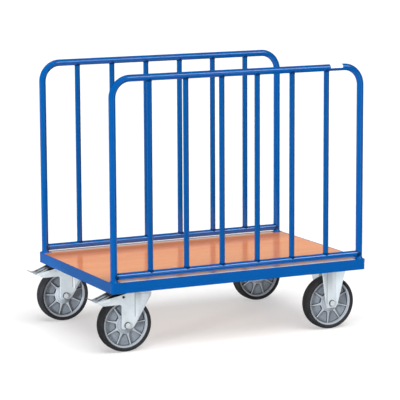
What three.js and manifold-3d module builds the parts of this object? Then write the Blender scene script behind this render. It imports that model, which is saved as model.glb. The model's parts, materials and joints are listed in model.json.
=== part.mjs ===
// Sheet goods cart: a low platform on four castors, with a barred tube hoop along each long side.
// Millimetres. +X runs along the deck towards the fixed castors, +Y to the back, +Z up.
import * as THREE from 'three';
import { mergeVertices } from 'three/addons/utils/BufferGeometryUtils.js';
import Module from 'manifold-3d';

const wasm = await Module();
wasm.setup();

// Driving dimensions of the platform
const GAP = 0.3;
const FRAME_LENGTH = 1040;
const FRAME_WIDTH = 700;
const FRAME_BOTTOM = 223;
const FRAME_TOP = 263;
const FRAME_CORNER_RADIUS = 10;
const SKIRT_THICKNESS = 3;
const LEDGE_WIDTH = 25;
const LEDGE_THICKNESS = 3;
const DECK_THICKNESS = 15;
const DECK_BELOW_RIM = 0.5;
const CROSS_MEMBER_WIDTH = 90;
const SHEET = 3;

// Driving dimensions of the side hoops
const TUBE_RADIUS = 12.5;
const BAR_RADIUS = 10;
const BARS_PER_SIDE = 6;
const HOOP_TOP = 989;
const HOOP_BEND = 69;
const LEG_INSET_X = 17.5;
const LEG_INSET_Y = 19.5;
const LOWER_RAIL_HEIGHT = 281.5;
const BEND_STEPS = 7;
const LEG_SEAT_RISE = 2.2;
const SOCKET_SIZE = 36;
const COLLAR_HEIGHT = 5;
const COLLAR_FLARE = 4;
const COLLAR_WAIST = { flare: 2.2, height: 1.75 };
const COLLAR_LIP = 1;

// Driving dimensions of the castors
const CASTOR_Y = 293;
const FIXED_CASTOR_X = 390;
const SWIVEL_CASTOR_X = -397;
const TRAIL = 52;
const WHEEL_RADIUS = 100;
const WHEEL_FACETS = 24;
const TYRE_HALF_WIDTH = 25;
const TYRE_BEAD = { inset: 3.5, height: 5 };
const TYRE_SHOULDER = { drop: 4, inset: 0.5 };
const TREAD_INSET = 6.5;
const RIM_RADIUS = 86;
const RIM_HALF_WIDTH = 18.5;
const RIM_LIP = 6.5;
const WEB_HALF_THICKNESS = 5;
const WEB_INNER_RADIUS = 39;
const WEB_OUTER_RADIUS = 77;
const RIB_COUNT = 9;
const RIB_HALF_HEIGHT = 13;
const RIB_ROOT = { radius: 30, halfWidth: 6 };
const RIB_WAIST = { radius: 46, halfWidth: 3 };
const RIB_TIP = { radius: 81, halfWidth: 2.2 };
const RIB_TURN = { front_fixed: 25, rear_fixed: 10, front_swivel: 5, rear_swivel: 15 };
const HUB_HALF_LENGTH = 26.5;
const HUB_RADIUS = 18;
const HUB_FOOT_RADIUS = 35;
const BUSH_RADIUS = 10;
const BUSH_HALF_LENGTH = 27.6;
const AXLE_RADIUS = 6;
const AXLE_HEAD = { radius: 10.5, height: 7 };
const AXLE_NUT = { height: 9, threadPast: 2 };
const CHEEK_INNER = 28;
const CHEEK_OUTER = CHEEK_INNER + SHEET;
const CASTOR_HEIGHT = 235;
const PLATE_THICKNESS = 4;
const PLATE_HALF_LENGTH = 55;
const PLATE_HALF_WIDTH = 52;
const CROWN_TOP = 216.6;
const CROWN_THICKNESS = 3.6;
const KINGPIN_RADIUS = 7;
const KINGPIN_HEAD = { radius: 12, faceRadius: 8, height: 6, chamfer: 2 };
const PEDAL_PIVOT = { x: -66, z: 204 };
const PEDAL_HALF_WIDTH = 27.4;
const PEDAL_SHEET = 2.5;
const PEDAL_EAR_RADIUS = 6.5;
const PIVOT_PIN_RADIUS = 3;
const PIVOT_PIN_HEAD = { radius: 5, height: 2.2 };
const SHOE_CLEARANCE = 5.5;

const halfLength = FRAME_LENGTH / 2;
const halfWidth = FRAME_WIDTH / 2;
const skirtInnerX = halfLength - SKIRT_THICKNESS - GAP;
const skirtInnerY = halfWidth - SKIRT_THICKNESS - GAP;
const deckTop = FRAME_TOP - DECK_BELOW_RIM;
const deckBottom = deckTop - DECK_THICKNESS;
const ledgeTop = deckBottom - GAP;
const legSeat = deckTop + LEG_SEAT_RISE;
const legX = halfLength - LEG_INSET_X;
const legY = halfWidth - LEG_INSET_Y;

// Solids from three.js geometry, joined and cut as closed bodies

function solidOf(geometry) {
  const bare = geometry.clone();
  for (const attribute of Object.keys(bare.attributes)) {
    if (attribute !== 'position') bare.deleteAttribute(attribute);
  }
  const merged = mergeVertices(bare, 1e-3);
  const vertProperties = Float32Array.from(merged.attributes.position.array);
  const index = merged.index.array;
  const a = new THREE.Vector3();
  const b = new THREE.Vector3();
  const c = new THREE.Vector3();
  const triangles = [];
  let volume = 0;
  for (let i = 0; i < index.length; i += 3) {
    const [p, q, r] = [index[i], index[i + 1], index[i + 2]];
    if (p === q || q === r || r === p) continue;
    a.fromArray(vertProperties, 3 * p);
    b.fromArray(vertProperties, 3 * q);
    c.fromArray(vertProperties, 3 * r);
    volume += a.dot(b.cross(c));
    triangles.push([p, q, r]);
  }
  const outward = volume < 0 ? triangles.map(([p, q, r]) => [p, r, q]) : triangles;
  const triVerts = Uint32Array.from(outward.flat());
  return new wasm.Manifold(new wasm.Mesh({ numProp: 3, vertProperties, triVerts }));
}

function geometryOf(solid) {
  const mesh = solid.getMesh();
  const geometry = new THREE.BufferGeometry();
  geometry.setAttribute('position', new THREE.BufferAttribute(Float32Array.from(mesh.vertProperties), 3));
  geometry.setIndex(new THREE.BufferAttribute(Uint32Array.from(mesh.triVerts), 1));
  geometry.computeVertexNormals();
  return geometry;
}

const join = (...solids) => solids.reduce((whole, next) => whole.add(next));
const cut = (body, ...tools) => tools.reduce((rest, tool) => rest.subtract(tool), body);

function polygon(points) {
  return new THREE.Shape(points.map(([x, y]) => new THREE.Vector2(x, y)));
}

function circle(radius, sides = 16) {
  const corners = Array.from({ length: sides }, (_, i) => 2 * Math.PI * (i + 0.5) / sides);
  return polygon(corners.map((angle) => [radius * Math.cos(angle), radius * Math.sin(angle)]));
}

// Radius of a sided cutter whose flats clear a round of the given radius
const clearOf = (radius, sides = 16) => (radius + GAP) / Math.cos(Math.PI / sides);

function rod(radius, start, end, sides = 16) {
  const path = new THREE.LineCurve3(new THREE.Vector3(...start), new THREE.Vector3(...end));
  return solidOf(new THREE.ExtrudeGeometry(circle(radius, sides), { steps: 1, extrudePath: path }));
}

function upright(shape, low, high, curveSegments = 3) {
  const options = { depth: high - low, bevelEnabled: false, curveSegments };
  return solidOf(new THREE.ExtrudeGeometry(shape, options).translate(0, 0, low));
}

// Plate cut from an outline in X and Z, running from y = near to y = far
function sideways(shape, near, far, curveSegments = 3) {
  const options = { depth: far - near, bevelEnabled: false, curveSegments };
  const plate = new THREE.ExtrudeGeometry(shape, options);
  return plate.rotateX(Math.PI / 2).translate(0, far, 0);
}

function block([x0, x1], [y0, y1], [z0, z1]) {
  const box = new THREE.BoxGeometry(Math.abs(x1 - x0), Math.abs(y1 - y0), Math.abs(z1 - z0));
  return solidOf(box.translate((x0 + x1) / 2, (y0 + y1) / 2, (z0 + z1) / 2));
}

// Profile of radius and height turned about a vertical line through x, y
function turned(profile, x = 0, y = 0, sides = 16) {
  const points = profile.map(([radius, height]) => new THREE.Vector2(radius, height));
  return solidOf(new THREE.LatheGeometry(points, sides).rotateX(Math.PI / 2).translate(x, y, 0));
}

// Profile of radius and width turned about the wheel's axle, with a flat facet on the ground
function wheelTurned(profile, sides = WHEEL_FACETS) {
  const points = profile.map(([radius, width]) => new THREE.Vector2(radius, width));
  return solidOf(new THREE.LatheGeometry(points, sides, Math.PI / sides));
}

// Path through chosen stations, so that a tube has rings only where it needs them
class StationPath extends THREE.Curve {
  constructor(stations) {
    super();
    this.stations = stations;
  }

  getPointAt(t, target = new THREE.Vector3()) {
    const last = this.stations.length - 1;
    return target.copy(this.stations[Math.round(t * last)]);
  }

  getTangentAt(t, target = new THREE.Vector3()) {
    const last = this.stations.length - 1;
    const at = Math.round(t * last);
    const before = this.stations[Math.max(at - 1, 0)];
    const after = this.stations[Math.min(at + 1, last)];
    const here = this.stations[at];
    const arriving = here.clone().sub(before).normalize();
    const leaving = after.clone().sub(here).normalize();
    return target.copy(arriving).add(leaving).normalize();
  }
}

// Finishes
const paint = () => new THREE.MeshStandardMaterial({ color: 0x055fb4, roughness: 0.4, metalness: 0 });
const beech = () => new THREE.MeshStandardMaterial({ color: 0xe8a57c, roughness: 0.35, metalness: 0 });
const zinc = () => new THREE.MeshStandardMaterial({ color: 0xd7dfe4, roughness: 0.35, metalness: 1 });
const steel = () => new THREE.MeshStandardMaterial({ color: 0xb8bcc0, roughness: 0.3, metalness: 1 });
const rimGrey = () => new THREE.MeshStandardMaterial({ color: 0x7c848d, roughness: 0.5, metalness: 0 });
const blackRubber = () => new THREE.MeshStandardMaterial({ color: 0x282a2c, roughness: 0.75, metalness: 0 });
const blackPlastic = () => new THREE.MeshStandardMaterial({ color: 0x1d1e20, roughness: 0.6, metalness: 0 });

function piece(name, solid, material) {
  const mesh = new THREE.Mesh(geometryOf(solid), material);
  mesh.name = name;
  return mesh;
}

const cart = new THREE.Group();

// Platform frame: one rolled rim section with a ledge for the board, mitred at the four corners

function roundedRectangle(halfX, halfY, radius) {
  const shape = new THREE.Shape();
  shape.absarc(halfX - radius, halfY - radius, radius, 0, Math.PI / 2);
  shape.absarc(radius - halfX, halfY - radius, radius, Math.PI / 2, Math.PI);
  shape.absarc(radius - halfX, radius - halfY, radius, Math.PI, 1.5 * Math.PI);
  shape.absarc(halfX - radius, radius - halfY, radius, 1.5 * Math.PI, 2 * Math.PI);
  return shape;
}

const rectangle = (x, y) => polygon([[x, y], [-x, y], [-x, -y], [x, -y]]);

function frameRing() {
  const skirt = roundedRectangle(halfLength, halfWidth, FRAME_CORNER_RADIUS);
  skirt.holes.push(rectangle(halfLength - SKIRT_THICKNESS, halfWidth - SKIRT_THICKNESS));
  const ledge = rectangle(halfLength - 1, halfWidth - 1);
  ledge.holes.push(rectangle(halfLength - LEDGE_WIDTH, halfWidth - LEDGE_WIDTH));
  const ledgeCorners = roundedRectangle(halfLength - 1, halfWidth - 1, FRAME_CORNER_RADIUS);
  const ledgeRing = upright(ledge, ledgeTop - LEDGE_THICKNESS, ledgeTop);
  const ledgeLimit = upright(ledgeCorners, FRAME_BOTTOM, FRAME_TOP, 6);
  return join(upright(skirt, FRAME_BOTTOM, FRAME_TOP, 6), ledgeRing.intersect(ledgeLimit));
}

const MITRE_REACH = 60;
const MITRE_OVERHANG = 20;
const mitreGap = GAP * Math.SQRT1_2;

function mitreWedge(alongX, sign) {
  const along = alongX ? halfLength : halfWidth;
  const across = alongX ? halfWidth : halfLength;
  const outer = [along + MITRE_OVERHANG - mitreGap, across + MITRE_OVERHANG];
  const inner = [along - MITRE_REACH - mitreGap, across - MITRE_REACH];
  const corners = [outer, inner, [-inner[0], inner[1]], [-outer[0], outer[1]]];
  const placed = corners.map(([a, b]) => (alongX ? [a, sign * b] : [sign * b, a]));
  return upright(polygon(placed), FRAME_BOTTOM - 1, FRAME_TOP + 1);
}

const ring = frameRing();
cart.add(piece('front_side_rail', ring.intersect(mitreWedge(true, -1)), paint()));
cart.add(piece('rear_side_rail', ring.intersect(mitreWedge(true, 1)), paint()));
cart.add(piece('left_end_rail', ring.intersect(mitreWedge(false, -1)), paint()));
cart.add(piece('right_end_rail', ring.intersect(mitreWedge(false, 1)), paint()));

// Board laid on the ledge, its corners notched round the leg sockets
const notchX = skirtInnerX - SOCKET_SIZE - GAP;
const notchY = skirtInnerY - SOCKET_SIZE - GAP;
const board = join(
  upright(rectangle(skirtInnerX, notchY), deckBottom, deckTop),
  upright(rectangle(notchX, skirtInnerY), deckBottom, deckTop),
);
cart.add(piece('deck_board', board, beech()));

// Channels across the frame that carry the castors, notched under the side ledges
function crossMember(x) {
  const base = CASTOR_HEIGHT + GAP;
  const half = CROSS_MEMBER_WIDTH / 2;
  const betweenLedges = halfWidth - LEDGE_WIDTH - GAP;
  const web = block([x - half, x + half], [-skirtInnerY, skirtInnerY], [base, base + SHEET]);
  const flange = (start) => block([start, start + SHEET], [-betweenLedges, betweenLedges], [base, ledgeTop]);
  return join(web, flange(x - half), flange(x + half - SHEET));
}
cart.add(piece('swivel_cross_member', crossMember(SWIVEL_CASTOR_X), paint()));
cart.add(piece('fixed_cross_member', crossMember(FIXED_CASTOR_X), paint()));

// Corner sockets: a block in each frame corner, with a raised seat in a flared collar for the hoop's leg
function cornerSocket(signX, signY) {
  const x = signX * legX;
  const y = signY * legY;
  const overRim = FRAME_TOP + GAP;
  const body = block(
    [signX * (skirtInnerX - SOCKET_SIZE), signX * skirtInnerX],
    [signY * (skirtInnerY - SOCKET_SIZE), signY * skirtInnerY],
    [deckBottom, deckTop],
  );
  const collar = turned([
    [0, deckBottom + 1],
    [TUBE_RADIUS + COLLAR_LIP, deckBottom + 1],
    [TUBE_RADIUS + COLLAR_LIP, overRim],
    [TUBE_RADIUS + COLLAR_FLARE, overRim],
    [TUBE_RADIUS + COLLAR_WAIST.flare, overRim + COLLAR_WAIST.height],
    [TUBE_RADIUS + COLLAR_LIP, overRim + COLLAR_HEIGHT],
    [0, overRim + COLLAR_HEIGHT],
  ], x, y);
  const bore = rod(clearOf(TUBE_RADIUS), [x, y, legSeat], [x, y, overRim + COLLAR_HEIGHT + 1]);
  return cut(join(body, collar), bore);
}
for (const [side, signY] of [['front', -1], ['rear', 1]]) {
  cart.add(piece(`${side}_left_socket`, cornerSocket(-1, signY), paint()));
  cart.add(piece(`${side}_right_socket`, cornerSocket(1, signY), paint()));
}

// Side hoops: one bent tube, a straight lower rail between its legs and bars from rail to top tube
function hoopStations(y) {
  const legFoot = legSeat + GAP;
  const stations = [new THREE.Vector3(-legX, y, legFoot)];
  for (const signX of [-1, 1]) {
    for (let i = 0; i <= BEND_STEPS; i++) {
      const turn = (signX < 0 ? i : BEND_STEPS - i) / BEND_STEPS * Math.PI / 2;
      const x = signX * (legX - HOOP_BEND * (1 - Math.cos(turn)));
      stations.push(new THREE.Vector3(x, y, HOOP_TOP - HOOP_BEND * (1 - Math.sin(turn))));
    }
  }
  stations.push(new THREE.Vector3(legX, y, legFoot));
  return stations;
}

for (const [side, signY] of [['front', -1], ['rear', 1]]) {
  const y = signY * legY;
  const stations = hoopStations(y);
  const tube = { steps: stations.length - 1, extrudePath: new StationPath(stations) };
  const hoop = solidOf(new THREE.ExtrudeGeometry(circle(TUBE_RADIUS), tube));
  cart.add(piece(`${side}_hoop`, hoop, paint()));

  const wide = clearOf(TUBE_RADIUS);
  const railEnds = [[-legX, y, LOWER_RAIL_HEIGHT], [legX, y, LOWER_RAIL_HEIGHT]];
  const legs = [-legX, legX].map((x) => rod(wide, [x, y, FRAME_TOP], [x, y, HOOP_TOP / 2]));
  cart.add(piece(`${side}_lower_rail`, cut(rod(TUBE_RADIUS, ...railEnds), ...legs), paint()));

  const railSpace = rod(wide, ...railEnds);
  const topSpace = rod(wide, [-legX, y, HOOP_TOP], [legX, y, HOOP_TOP]);
  for (let i = 1; i <= BARS_PER_SIDE; i++) {
    const x = -legX + 2 * legX * i / (BARS_PER_SIDE + 1);
    const bar = rod(BAR_RADIUS, [x, y, LOWER_RAIL_HEIGHT], [x, y, HOOP_TOP], 12);
    cart.add(piece(`${side}_bar_${i}`, cut(bar, railSpace, topSpace), paint()));
  }
}

// Wheel: a ribbed plastic rim on a bush, with a solid rubber tyre

// Profile given for one half of the width, mirrored to the other half and closed
function mirrored(half) {
  const other = half.map(([radius, width]) => [radius, -width]).reverse();
  const whole = [...half, ...other];
  return [...whole, whole[0]];
}

function rimSolid(ribTurn) {
  const boss = mirrored([
    [BUSH_RADIUS + GAP, HUB_HALF_LENGTH],
    [HUB_RADIUS, HUB_HALF_LENGTH],
    [HUB_FOOT_RADIUS, RIB_HALF_HEIGHT + 0.5],
    [WEB_INNER_RADIUS, WEB_HALF_THICKNESS],
    [WEB_OUTER_RADIUS, WEB_HALF_THICKNESS],
    [RIM_RADIUS - RIM_LIP, RIM_HALF_WIDTH - 1],
    [RIM_RADIUS, RIM_HALF_WIDTH],
  ]);
  const edge = [RIB_ROOT, RIB_WAIST, RIB_TIP].map(({ radius, halfWidth }) => [radius, halfWidth]);
  const rib = polygon([...edge.map(([radius, halfWidth]) => [radius, -halfWidth]), ...edge.reverse()]);
  const ribs = Array.from({ length: RIB_COUNT }, (_, i) => {
    const blade = sideways(rib, -RIB_HALF_HEIGHT, RIB_HALF_HEIGHT);
    return solidOf(blade.rotateY(-ribTurn - 2 * Math.PI * i / RIB_COUNT));
  });
  return join(wheelTurned(boss), ...ribs);
}

// Corner radius that puts a facet's middle at the given radius
const overFlat = (radius) => radius / Math.cos(Math.PI / WHEEL_FACETS);

function tyreSolid() {
  return wheelTurned(mirrored([
    [RIM_RADIUS + GAP, TYRE_HALF_WIDTH - TYRE_BEAD.inset],
    [RIM_RADIUS + TYRE_BEAD.height, TYRE_HALF_WIDTH],
    [overFlat(WHEEL_RADIUS - TYRE_SHOULDER.drop), TYRE_HALF_WIDTH - TYRE_SHOULDER.inset],
    [overFlat(WHEEL_RADIUS), TYRE_HALF_WIDTH - TREAD_INSET],
  ]));
}

function bushSolid() {
  const bore = clearOf(AXLE_RADIUS, 12);
  return wheelTurned(mirrored([[bore, BUSH_HALF_LENGTH], [BUSH_RADIUS, BUSH_HALF_LENGTH]]), 12);
}

function addWheel(group, name, axleX) {
  const ribTurn = THREE.MathUtils.degToRad(RIB_TURN[name]);
  const wheel = new THREE.Group();
  wheel.position.set(axleX, 0, WHEEL_RADIUS);
  wheel.add(piece(`${name}_rim`, rimSolid(ribTurn), rimGrey()));
  wheel.add(piece(`${name}_tyre`, tyreSolid(), blackRubber()));
  wheel.add(piece(`${name}_bush`, bushSolid(), steel()));
  group.add(wheel);
}

// Axle bolt with its hexagon head on the near cheek and its nut drawn up on the far one
function axleSolid(x) {
  const along = (y) => [x, y, WHEEL_RADIUS];
  const face = CHEEK_OUTER + GAP;
  return join(
    rod(AXLE_RADIUS, along(-face - 1), along(face + AXLE_NUT.height + AXLE_NUT.threadPast), 12),
    rod(AXLE_HEAD.radius, along(-face - AXLE_HEAD.height), along(-face), 6),
    rod(AXLE_HEAD.radius, along(face), along(face + AXLE_NUT.height), 6),
  );
}

const axleHole = (x) => rod(
  clearOf(AXLE_RADIUS), [x, -2 * CHEEK_OUTER, WHEEL_RADIUS], [x, 2 * CHEEK_OUTER, WHEEL_RADIUS],
);

const mountingPlate = () => block(
  [-PLATE_HALF_LENGTH, PLATE_HALF_LENGTH],
  [-PLATE_HALF_WIDTH, PLATE_HALF_WIDTH],
  [CASTOR_HEIGHT - PLATE_THICKNESS, CASTOR_HEIGHT],
);

// Fixed castor: a pressed bracket whose legs have flanges that flare out to the plate's edges
const LEG_HALF_WIDTH = 20;
const LEG_BOTTOM = 82;
const LEG_CORNER = 8;
const FLANGE_WIDTH = 33.5;
const FLANGE_FOOT = 6;
const FLANGE_FOOT_HEIGHT = 12;
const FLANGE_SHOULDER = 13;
const FLANGE_FLARE = THREE.MathUtils.degToRad(31);
const plateUnderside = CASTOR_HEIGHT - PLATE_THICKNESS;

function bracketLeg(signY) {
  const panel = new THREE.Shape();
  panel.moveTo(LEG_HALF_WIDTH, plateUnderside + 1);
  panel.lineTo(-LEG_HALF_WIDTH, plateUnderside + 1);
  panel.absarc(LEG_CORNER - LEG_HALF_WIDTH, LEG_BOTTOM + LEG_CORNER, LEG_CORNER, Math.PI, 1.5 * Math.PI);
  panel.absarc(LEG_HALF_WIDTH - LEG_CORNER, LEG_BOTTOM + LEG_CORNER, LEG_CORNER, 1.5 * Math.PI, 2 * Math.PI);
  const flange = polygon([
    [-1, LEG_BOTTOM + LEG_CORNER],
    [FLANGE_FOOT, LEG_BOTTOM + FLANGE_FOOT_HEIGHT],
    [FLANGE_WIDTH, plateUnderside - FLANGE_SHOULDER],
    [FLANGE_WIDTH, plateUnderside + 1],
    [-1, plateUnderside + 1],
  ]);
  const flanges = [-1, 1].map((signX) => {
    const sheet = sideways(flange, -SHEET, 0).rotateZ(-FLANGE_FLARE);
    return solidOf(sheet.translate(LEG_HALF_WIDTH, -CHEEK_INNER, 0).scale(signX, -signY, 1));
  });
  const near = signY < 0 ? -CHEEK_OUTER : CHEEK_INNER;
  return join(solidOf(sideways(panel, near, near + SHEET)), ...flanges);
}

function fixedCastor(side, signY) {
  const castor = new THREE.Group();
  castor.position.set(FIXED_CASTOR_X, signY * CASTOR_Y, 0);
  const bracket = join(mountingPlate(), bracketLeg(-1), bracketLeg(1));
  castor.add(piece(`${side}_fixed_bracket`, cut(bracket, axleHole(0)), zinc()));
  castor.add(piece(`${side}_fixed_axle`, axleSolid(0), steel()));
  addWheel(castor, `${side}_fixed`, 0);
  return castor;
}
cart.add(fixedCastor('front', -1), fixedCastor('rear', 1));

// Swivel castor: plate with a ball race, fork on a kingpin, and a brake pedal between the fork's arms
const RACE_RADIUS = 34;
const RACE_BOTTOM = 225;
const RACE_CHAMFER = { across: 4, up: 3 };
const SEAL_RADIUS = 32;
const SEAL_EDGE_HEIGHT = 4;
const SEAL_CHAMFER = 4;
const SEAL_ROUND_PIN = 2;
const KINGPIN_BELOW_PLATE_TOP = 0.5;
const FORK_FRONT = -73;
const FORK_REAR = -29;
const FORK_BOTTOM = 86;
const ARM_UNDERSIDE = 177;
const CROWN_REAR = 45;
const CROWN_FRONT = -50;
const CHEEK_CORNER = 8;
const CHEEK_REAR_CORNER = 12;
const CHEEK_REAR_TOP = [43, 202.6];
const ARM_TOP = [[-70, 212], [-165, 194]];
const ARM_TIP = [[-166.5, 190.5], [-150, ARM_UNDERSIDE + 1], [-143, ARM_UNDERSIDE]];

function swivelPlate() {
  const race = turned([
    [0, RACE_BOTTOM],
    [RACE_RADIUS - RACE_CHAMFER.across, RACE_BOTTOM],
    [RACE_RADIUS, RACE_BOTTOM + RACE_CHAMFER.up],
    [RACE_RADIUS, plateUnderside + 1],
    [0, plateUnderside + 1],
  ]);
  const bore = rod(clearOf(KINGPIN_RADIUS), [0, 0, RACE_BOTTOM - 1], [0, 0, CASTOR_HEIGHT + 1]);
  return cut(join(mountingPlate(), race), bore);
}

function sealRing() {
  const low = CROWN_TOP + GAP;
  const high = RACE_BOTTOM - GAP;
  const inner = KINGPIN_RADIUS + SEAL_ROUND_PIN;
  return turned([
    [inner, low],
    [SEAL_RADIUS, low],
    [SEAL_RADIUS, low + SEAL_EDGE_HEIGHT],
    [SEAL_RADIUS - SEAL_CHAMFER, high],
    [inner, high],
    [inner, low],
  ]);
}

// From the crown along the arm to its tip, back under it, down the front edge and up the sloping rear edge
function cheekOutline() {
  const foot = CHEEK_CORNER;
  const heel = CHEEK_REAR_CORNER;
  const shape = new THREE.Shape();
  shape.moveTo(CROWN_REAR, CROWN_TOP);
  shape.lineTo(CROWN_FRONT, CROWN_TOP);
  for (const [x, z] of [...ARM_TOP, ...ARM_TIP]) shape.lineTo(x, z);
  shape.absarc(FORK_FRONT - foot, ARM_UNDERSIDE - foot, foot, Math.PI / 2, 0, true);
  shape.absarc(FORK_FRONT + foot, FORK_BOTTOM + foot, foot, Math.PI, 1.5 * Math.PI);
  shape.absarc(FORK_REAR - heel, FORK_BOTTOM + heel, heel, 1.5 * Math.PI, 1.82 * Math.PI);
  shape.lineTo(...CHEEK_REAR_TOP);
  return shape;
}

function forkSolid() {
  const cheeks = [-CHEEK_OUTER, CHEEK_INNER].map((y) => solidOf(sideways(cheekOutline(), y, y + SHEET)));
  const crownPlan = polygon([
    [CROWN_FRONT, -CHEEK_OUTER],
    [CROWN_REAR, -CHEEK_OUTER],
    [CROWN_REAR, CHEEK_OUTER],
    [CROWN_FRONT, CHEEK_OUTER],
  ]);
  const crown = upright(crownPlan, CROWN_TOP - CROWN_THICKNESS, CROWN_TOP);
  const kingpinHole = rod(clearOf(KINGPIN_RADIUS), [0, 0, WHEEL_RADIUS], [0, 0, CROWN_TOP + 1]);
  const { x, z } = PEDAL_PIVOT;
  const pinHole = rod(clearOf(PIVOT_PIN_RADIUS, 12), [x, -2 * CHEEK_OUTER, z], [x, 2 * CHEEK_OUTER, z], 12);
  return cut(join(crown, ...cheeks), kingpinHole, pinHole, axleHole(-TRAIL));
}

function kingpinSolid() {
  const underCrown = CROWN_TOP - CROWN_THICKNESS - GAP;
  const { radius, faceRadius, height, chamfer } = KINGPIN_HEAD;
  return turned([
    [0, underCrown - height],
    [faceRadius, underCrown - height],
    [radius, underCrown - height + chamfer],
    [radius, underCrown],
    [KINGPIN_RADIUS, underCrown],
    [KINGPIN_RADIUS, CASTOR_HEIGHT - KINGPIN_BELOW_PLATE_TOP],
    [0, CASTOR_HEIGHT - KINGPIN_BELOW_PLATE_TOP],
  ]);
}

function pivotPinSolid() {
  const { x, z } = PEDAL_PIVOT;
  const { radius, height } = PIVOT_PIN_HEAD;
  const along = (y) => [x, y, z];
  const face = CHEEK_OUTER + GAP;
  return join(
    rod(PIVOT_PIN_RADIUS, along(-face - 1), along(face + 1), 8),
    rod(radius, along(-face - height), along(-face), 8),
    rod(radius, along(face), along(face + height), 8),
  );
}

// Strip of sheet metal bent along a line of points
function bentStrip(points, thickness) {
  const line = points.map(([x, z]) => new THREE.Vector2(x, z));
  const left = [];
  const right = [];
  line.forEach((point, i) => {
    const before = line[Math.max(i - 1, 0)];
    const after = line[Math.min(i + 1, line.length - 1)];
    const arriving = (i > 0 ? point.clone().sub(before) : after.clone().sub(point)).normalize();
    const leaving = (i < line.length - 1 ? after.clone().sub(point) : arriving.clone()).normalize();
    const bisector = arriving.clone().add(leaving).normalize();
    const normal = new THREE.Vector2(-bisector.y, bisector.x);
    const reach = thickness / 2 / normal.dot(new THREE.Vector2(-leaving.y, leaving.x));
    left.push(point.clone().addScaledVector(normal, reach));
    right.push(point.clone().addScaledVector(normal, -reach));
  });
  return new THREE.Shape([...left, ...right.reverse()]);
}

// Brake shoe: an arc of plastic that follows the tyre, on the pedal's tip side of the pivot
const SHOE_START = THREE.MathUtils.degToRad(106);
const SHOE_END = THREE.MathUtils.degToRad(120);
const SHOE_THICKNESS = 8.5;
const SHOE_HALF_WIDTH = 16;

function shoeSolid(grow) {
  const inner = WHEEL_RADIUS + SHOE_CLEARANCE - grow;
  const outer = inner + SHOE_THICKNESS + 2 * grow;
  const margin = grow / inner;
  const shape = new THREE.Shape();
  shape.absarc(-TRAIL, WHEEL_RADIUS, outer, SHOE_START - margin, SHOE_END + margin);
  shape.absarc(-TRAIL, WHEEL_RADIUS, inner, SHOE_END + margin, SHOE_START - margin, true);
  return solidOf(sideways(shape, -SHOE_HALF_WIDTH - grow, SHOE_HALF_WIDTH + grow, 4));
}

// Brake pedal: a bent strip with two slots, a stem for the shoe and an ear on each side round the pivot pin
const PEDAL_LINE = [[-68, 211], [-82, 216], [-100, 217], [-166, 192], [-185, 200.5]];
const PEDAL_SLOT = { from: -157, to: -122, inner: 4, outer: 18 };
const SHOE_STEM = { from: -98, to: -88, low: 204, high: 217, halfWidth: 12 };

function pedalEar(near) {
  const { x, z } = PEDAL_PIVOT;
  const shape = new THREE.Shape();
  const [heel, brow] = PEDAL_LINE;
  shape.moveTo(...brow);
  shape.absarc(x, z, PEDAL_EAR_RADIUS, 1.1 * Math.PI, 2 * Math.PI);
  shape.lineTo(x + PEDAL_EAR_RADIUS, heel[1] - PEDAL_SHEET);
  shape.lineTo(...heel);
  return solidOf(sideways(shape, near, near + PEDAL_SHEET, 4));
}

function pedalSolid() {
  const { x, z } = PEDAL_PIVOT;
  const width = PEDAL_HALF_WIDTH;
  const sheet = solidOf(sideways(bentStrip(PEDAL_LINE, PEDAL_SHEET), -width, width));
  const ears = [-width, width - PEDAL_SHEET].map(pedalEar);
  const { from, to, low, high, halfWidth: half } = SHOE_STEM;
  const stem = block([from, to], [-half, half], [low, high]);
  const bore = rod(clearOf(PIVOT_PIN_RADIUS, 12), [x, -2 * width, z], [x, 2 * width, z], 12);
  const slots = [-1, 1].map((side) => block(
    [PEDAL_SLOT.from, PEDAL_SLOT.to],
    [side * PEDAL_SLOT.inner, side * PEDAL_SLOT.outer],
    [FORK_BOTTOM, FRAME_BOTTOM],
  ));
  return cut(join(sheet, stem, ...ears), bore, shoeSolid(GAP), ...slots);
}

function swivelCastor(side, signY) {
  const castor = new THREE.Group();
  castor.position.set(SWIVEL_CASTOR_X, signY * CASTOR_Y, 0);
  castor.add(piece(`${side}_swivel_plate`, swivelPlate(), zinc()));
  castor.add(piece(`${side}_swivel_fork`, forkSolid(), zinc()));
  castor.add(piece(`${side}_swivel_seal`, sealRing(), zinc()));
  castor.add(piece(`${side}_kingpin`, kingpinSolid(), steel()));
  castor.add(piece(`${side}_swivel_axle`, axleSolid(-TRAIL), steel()));
  castor.add(piece(`${side}_brake_pivot`, pivotPinSolid(), steel()));
  castor.add(piece(`${side}_brake_pedal`, pedalSolid(), zinc()));
  castor.add(piece(`${side}_brake_shoe`, shoeSolid(0), blackPlastic()));
  addWheel(castor, `${side}_swivel`, -TRAIL);
  return castor;
}
cart.add(swivelCastor('front', -1), swivelCastor('rear', 1));

// The origin lies on the floor under the middle of the whole cart, pedals included
const reach = new THREE.Box3().setFromObject(cart);
cart.position.x = -(reach.min.x + reach.max.x) / 2;

export default cart;
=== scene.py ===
# Sheet goods cart: a beech deck in a blue steel frame, with barred tube hoops and four castors.
import json
import math

import bmesh
import bpy
from mathutils import Matrix, Vector


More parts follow.
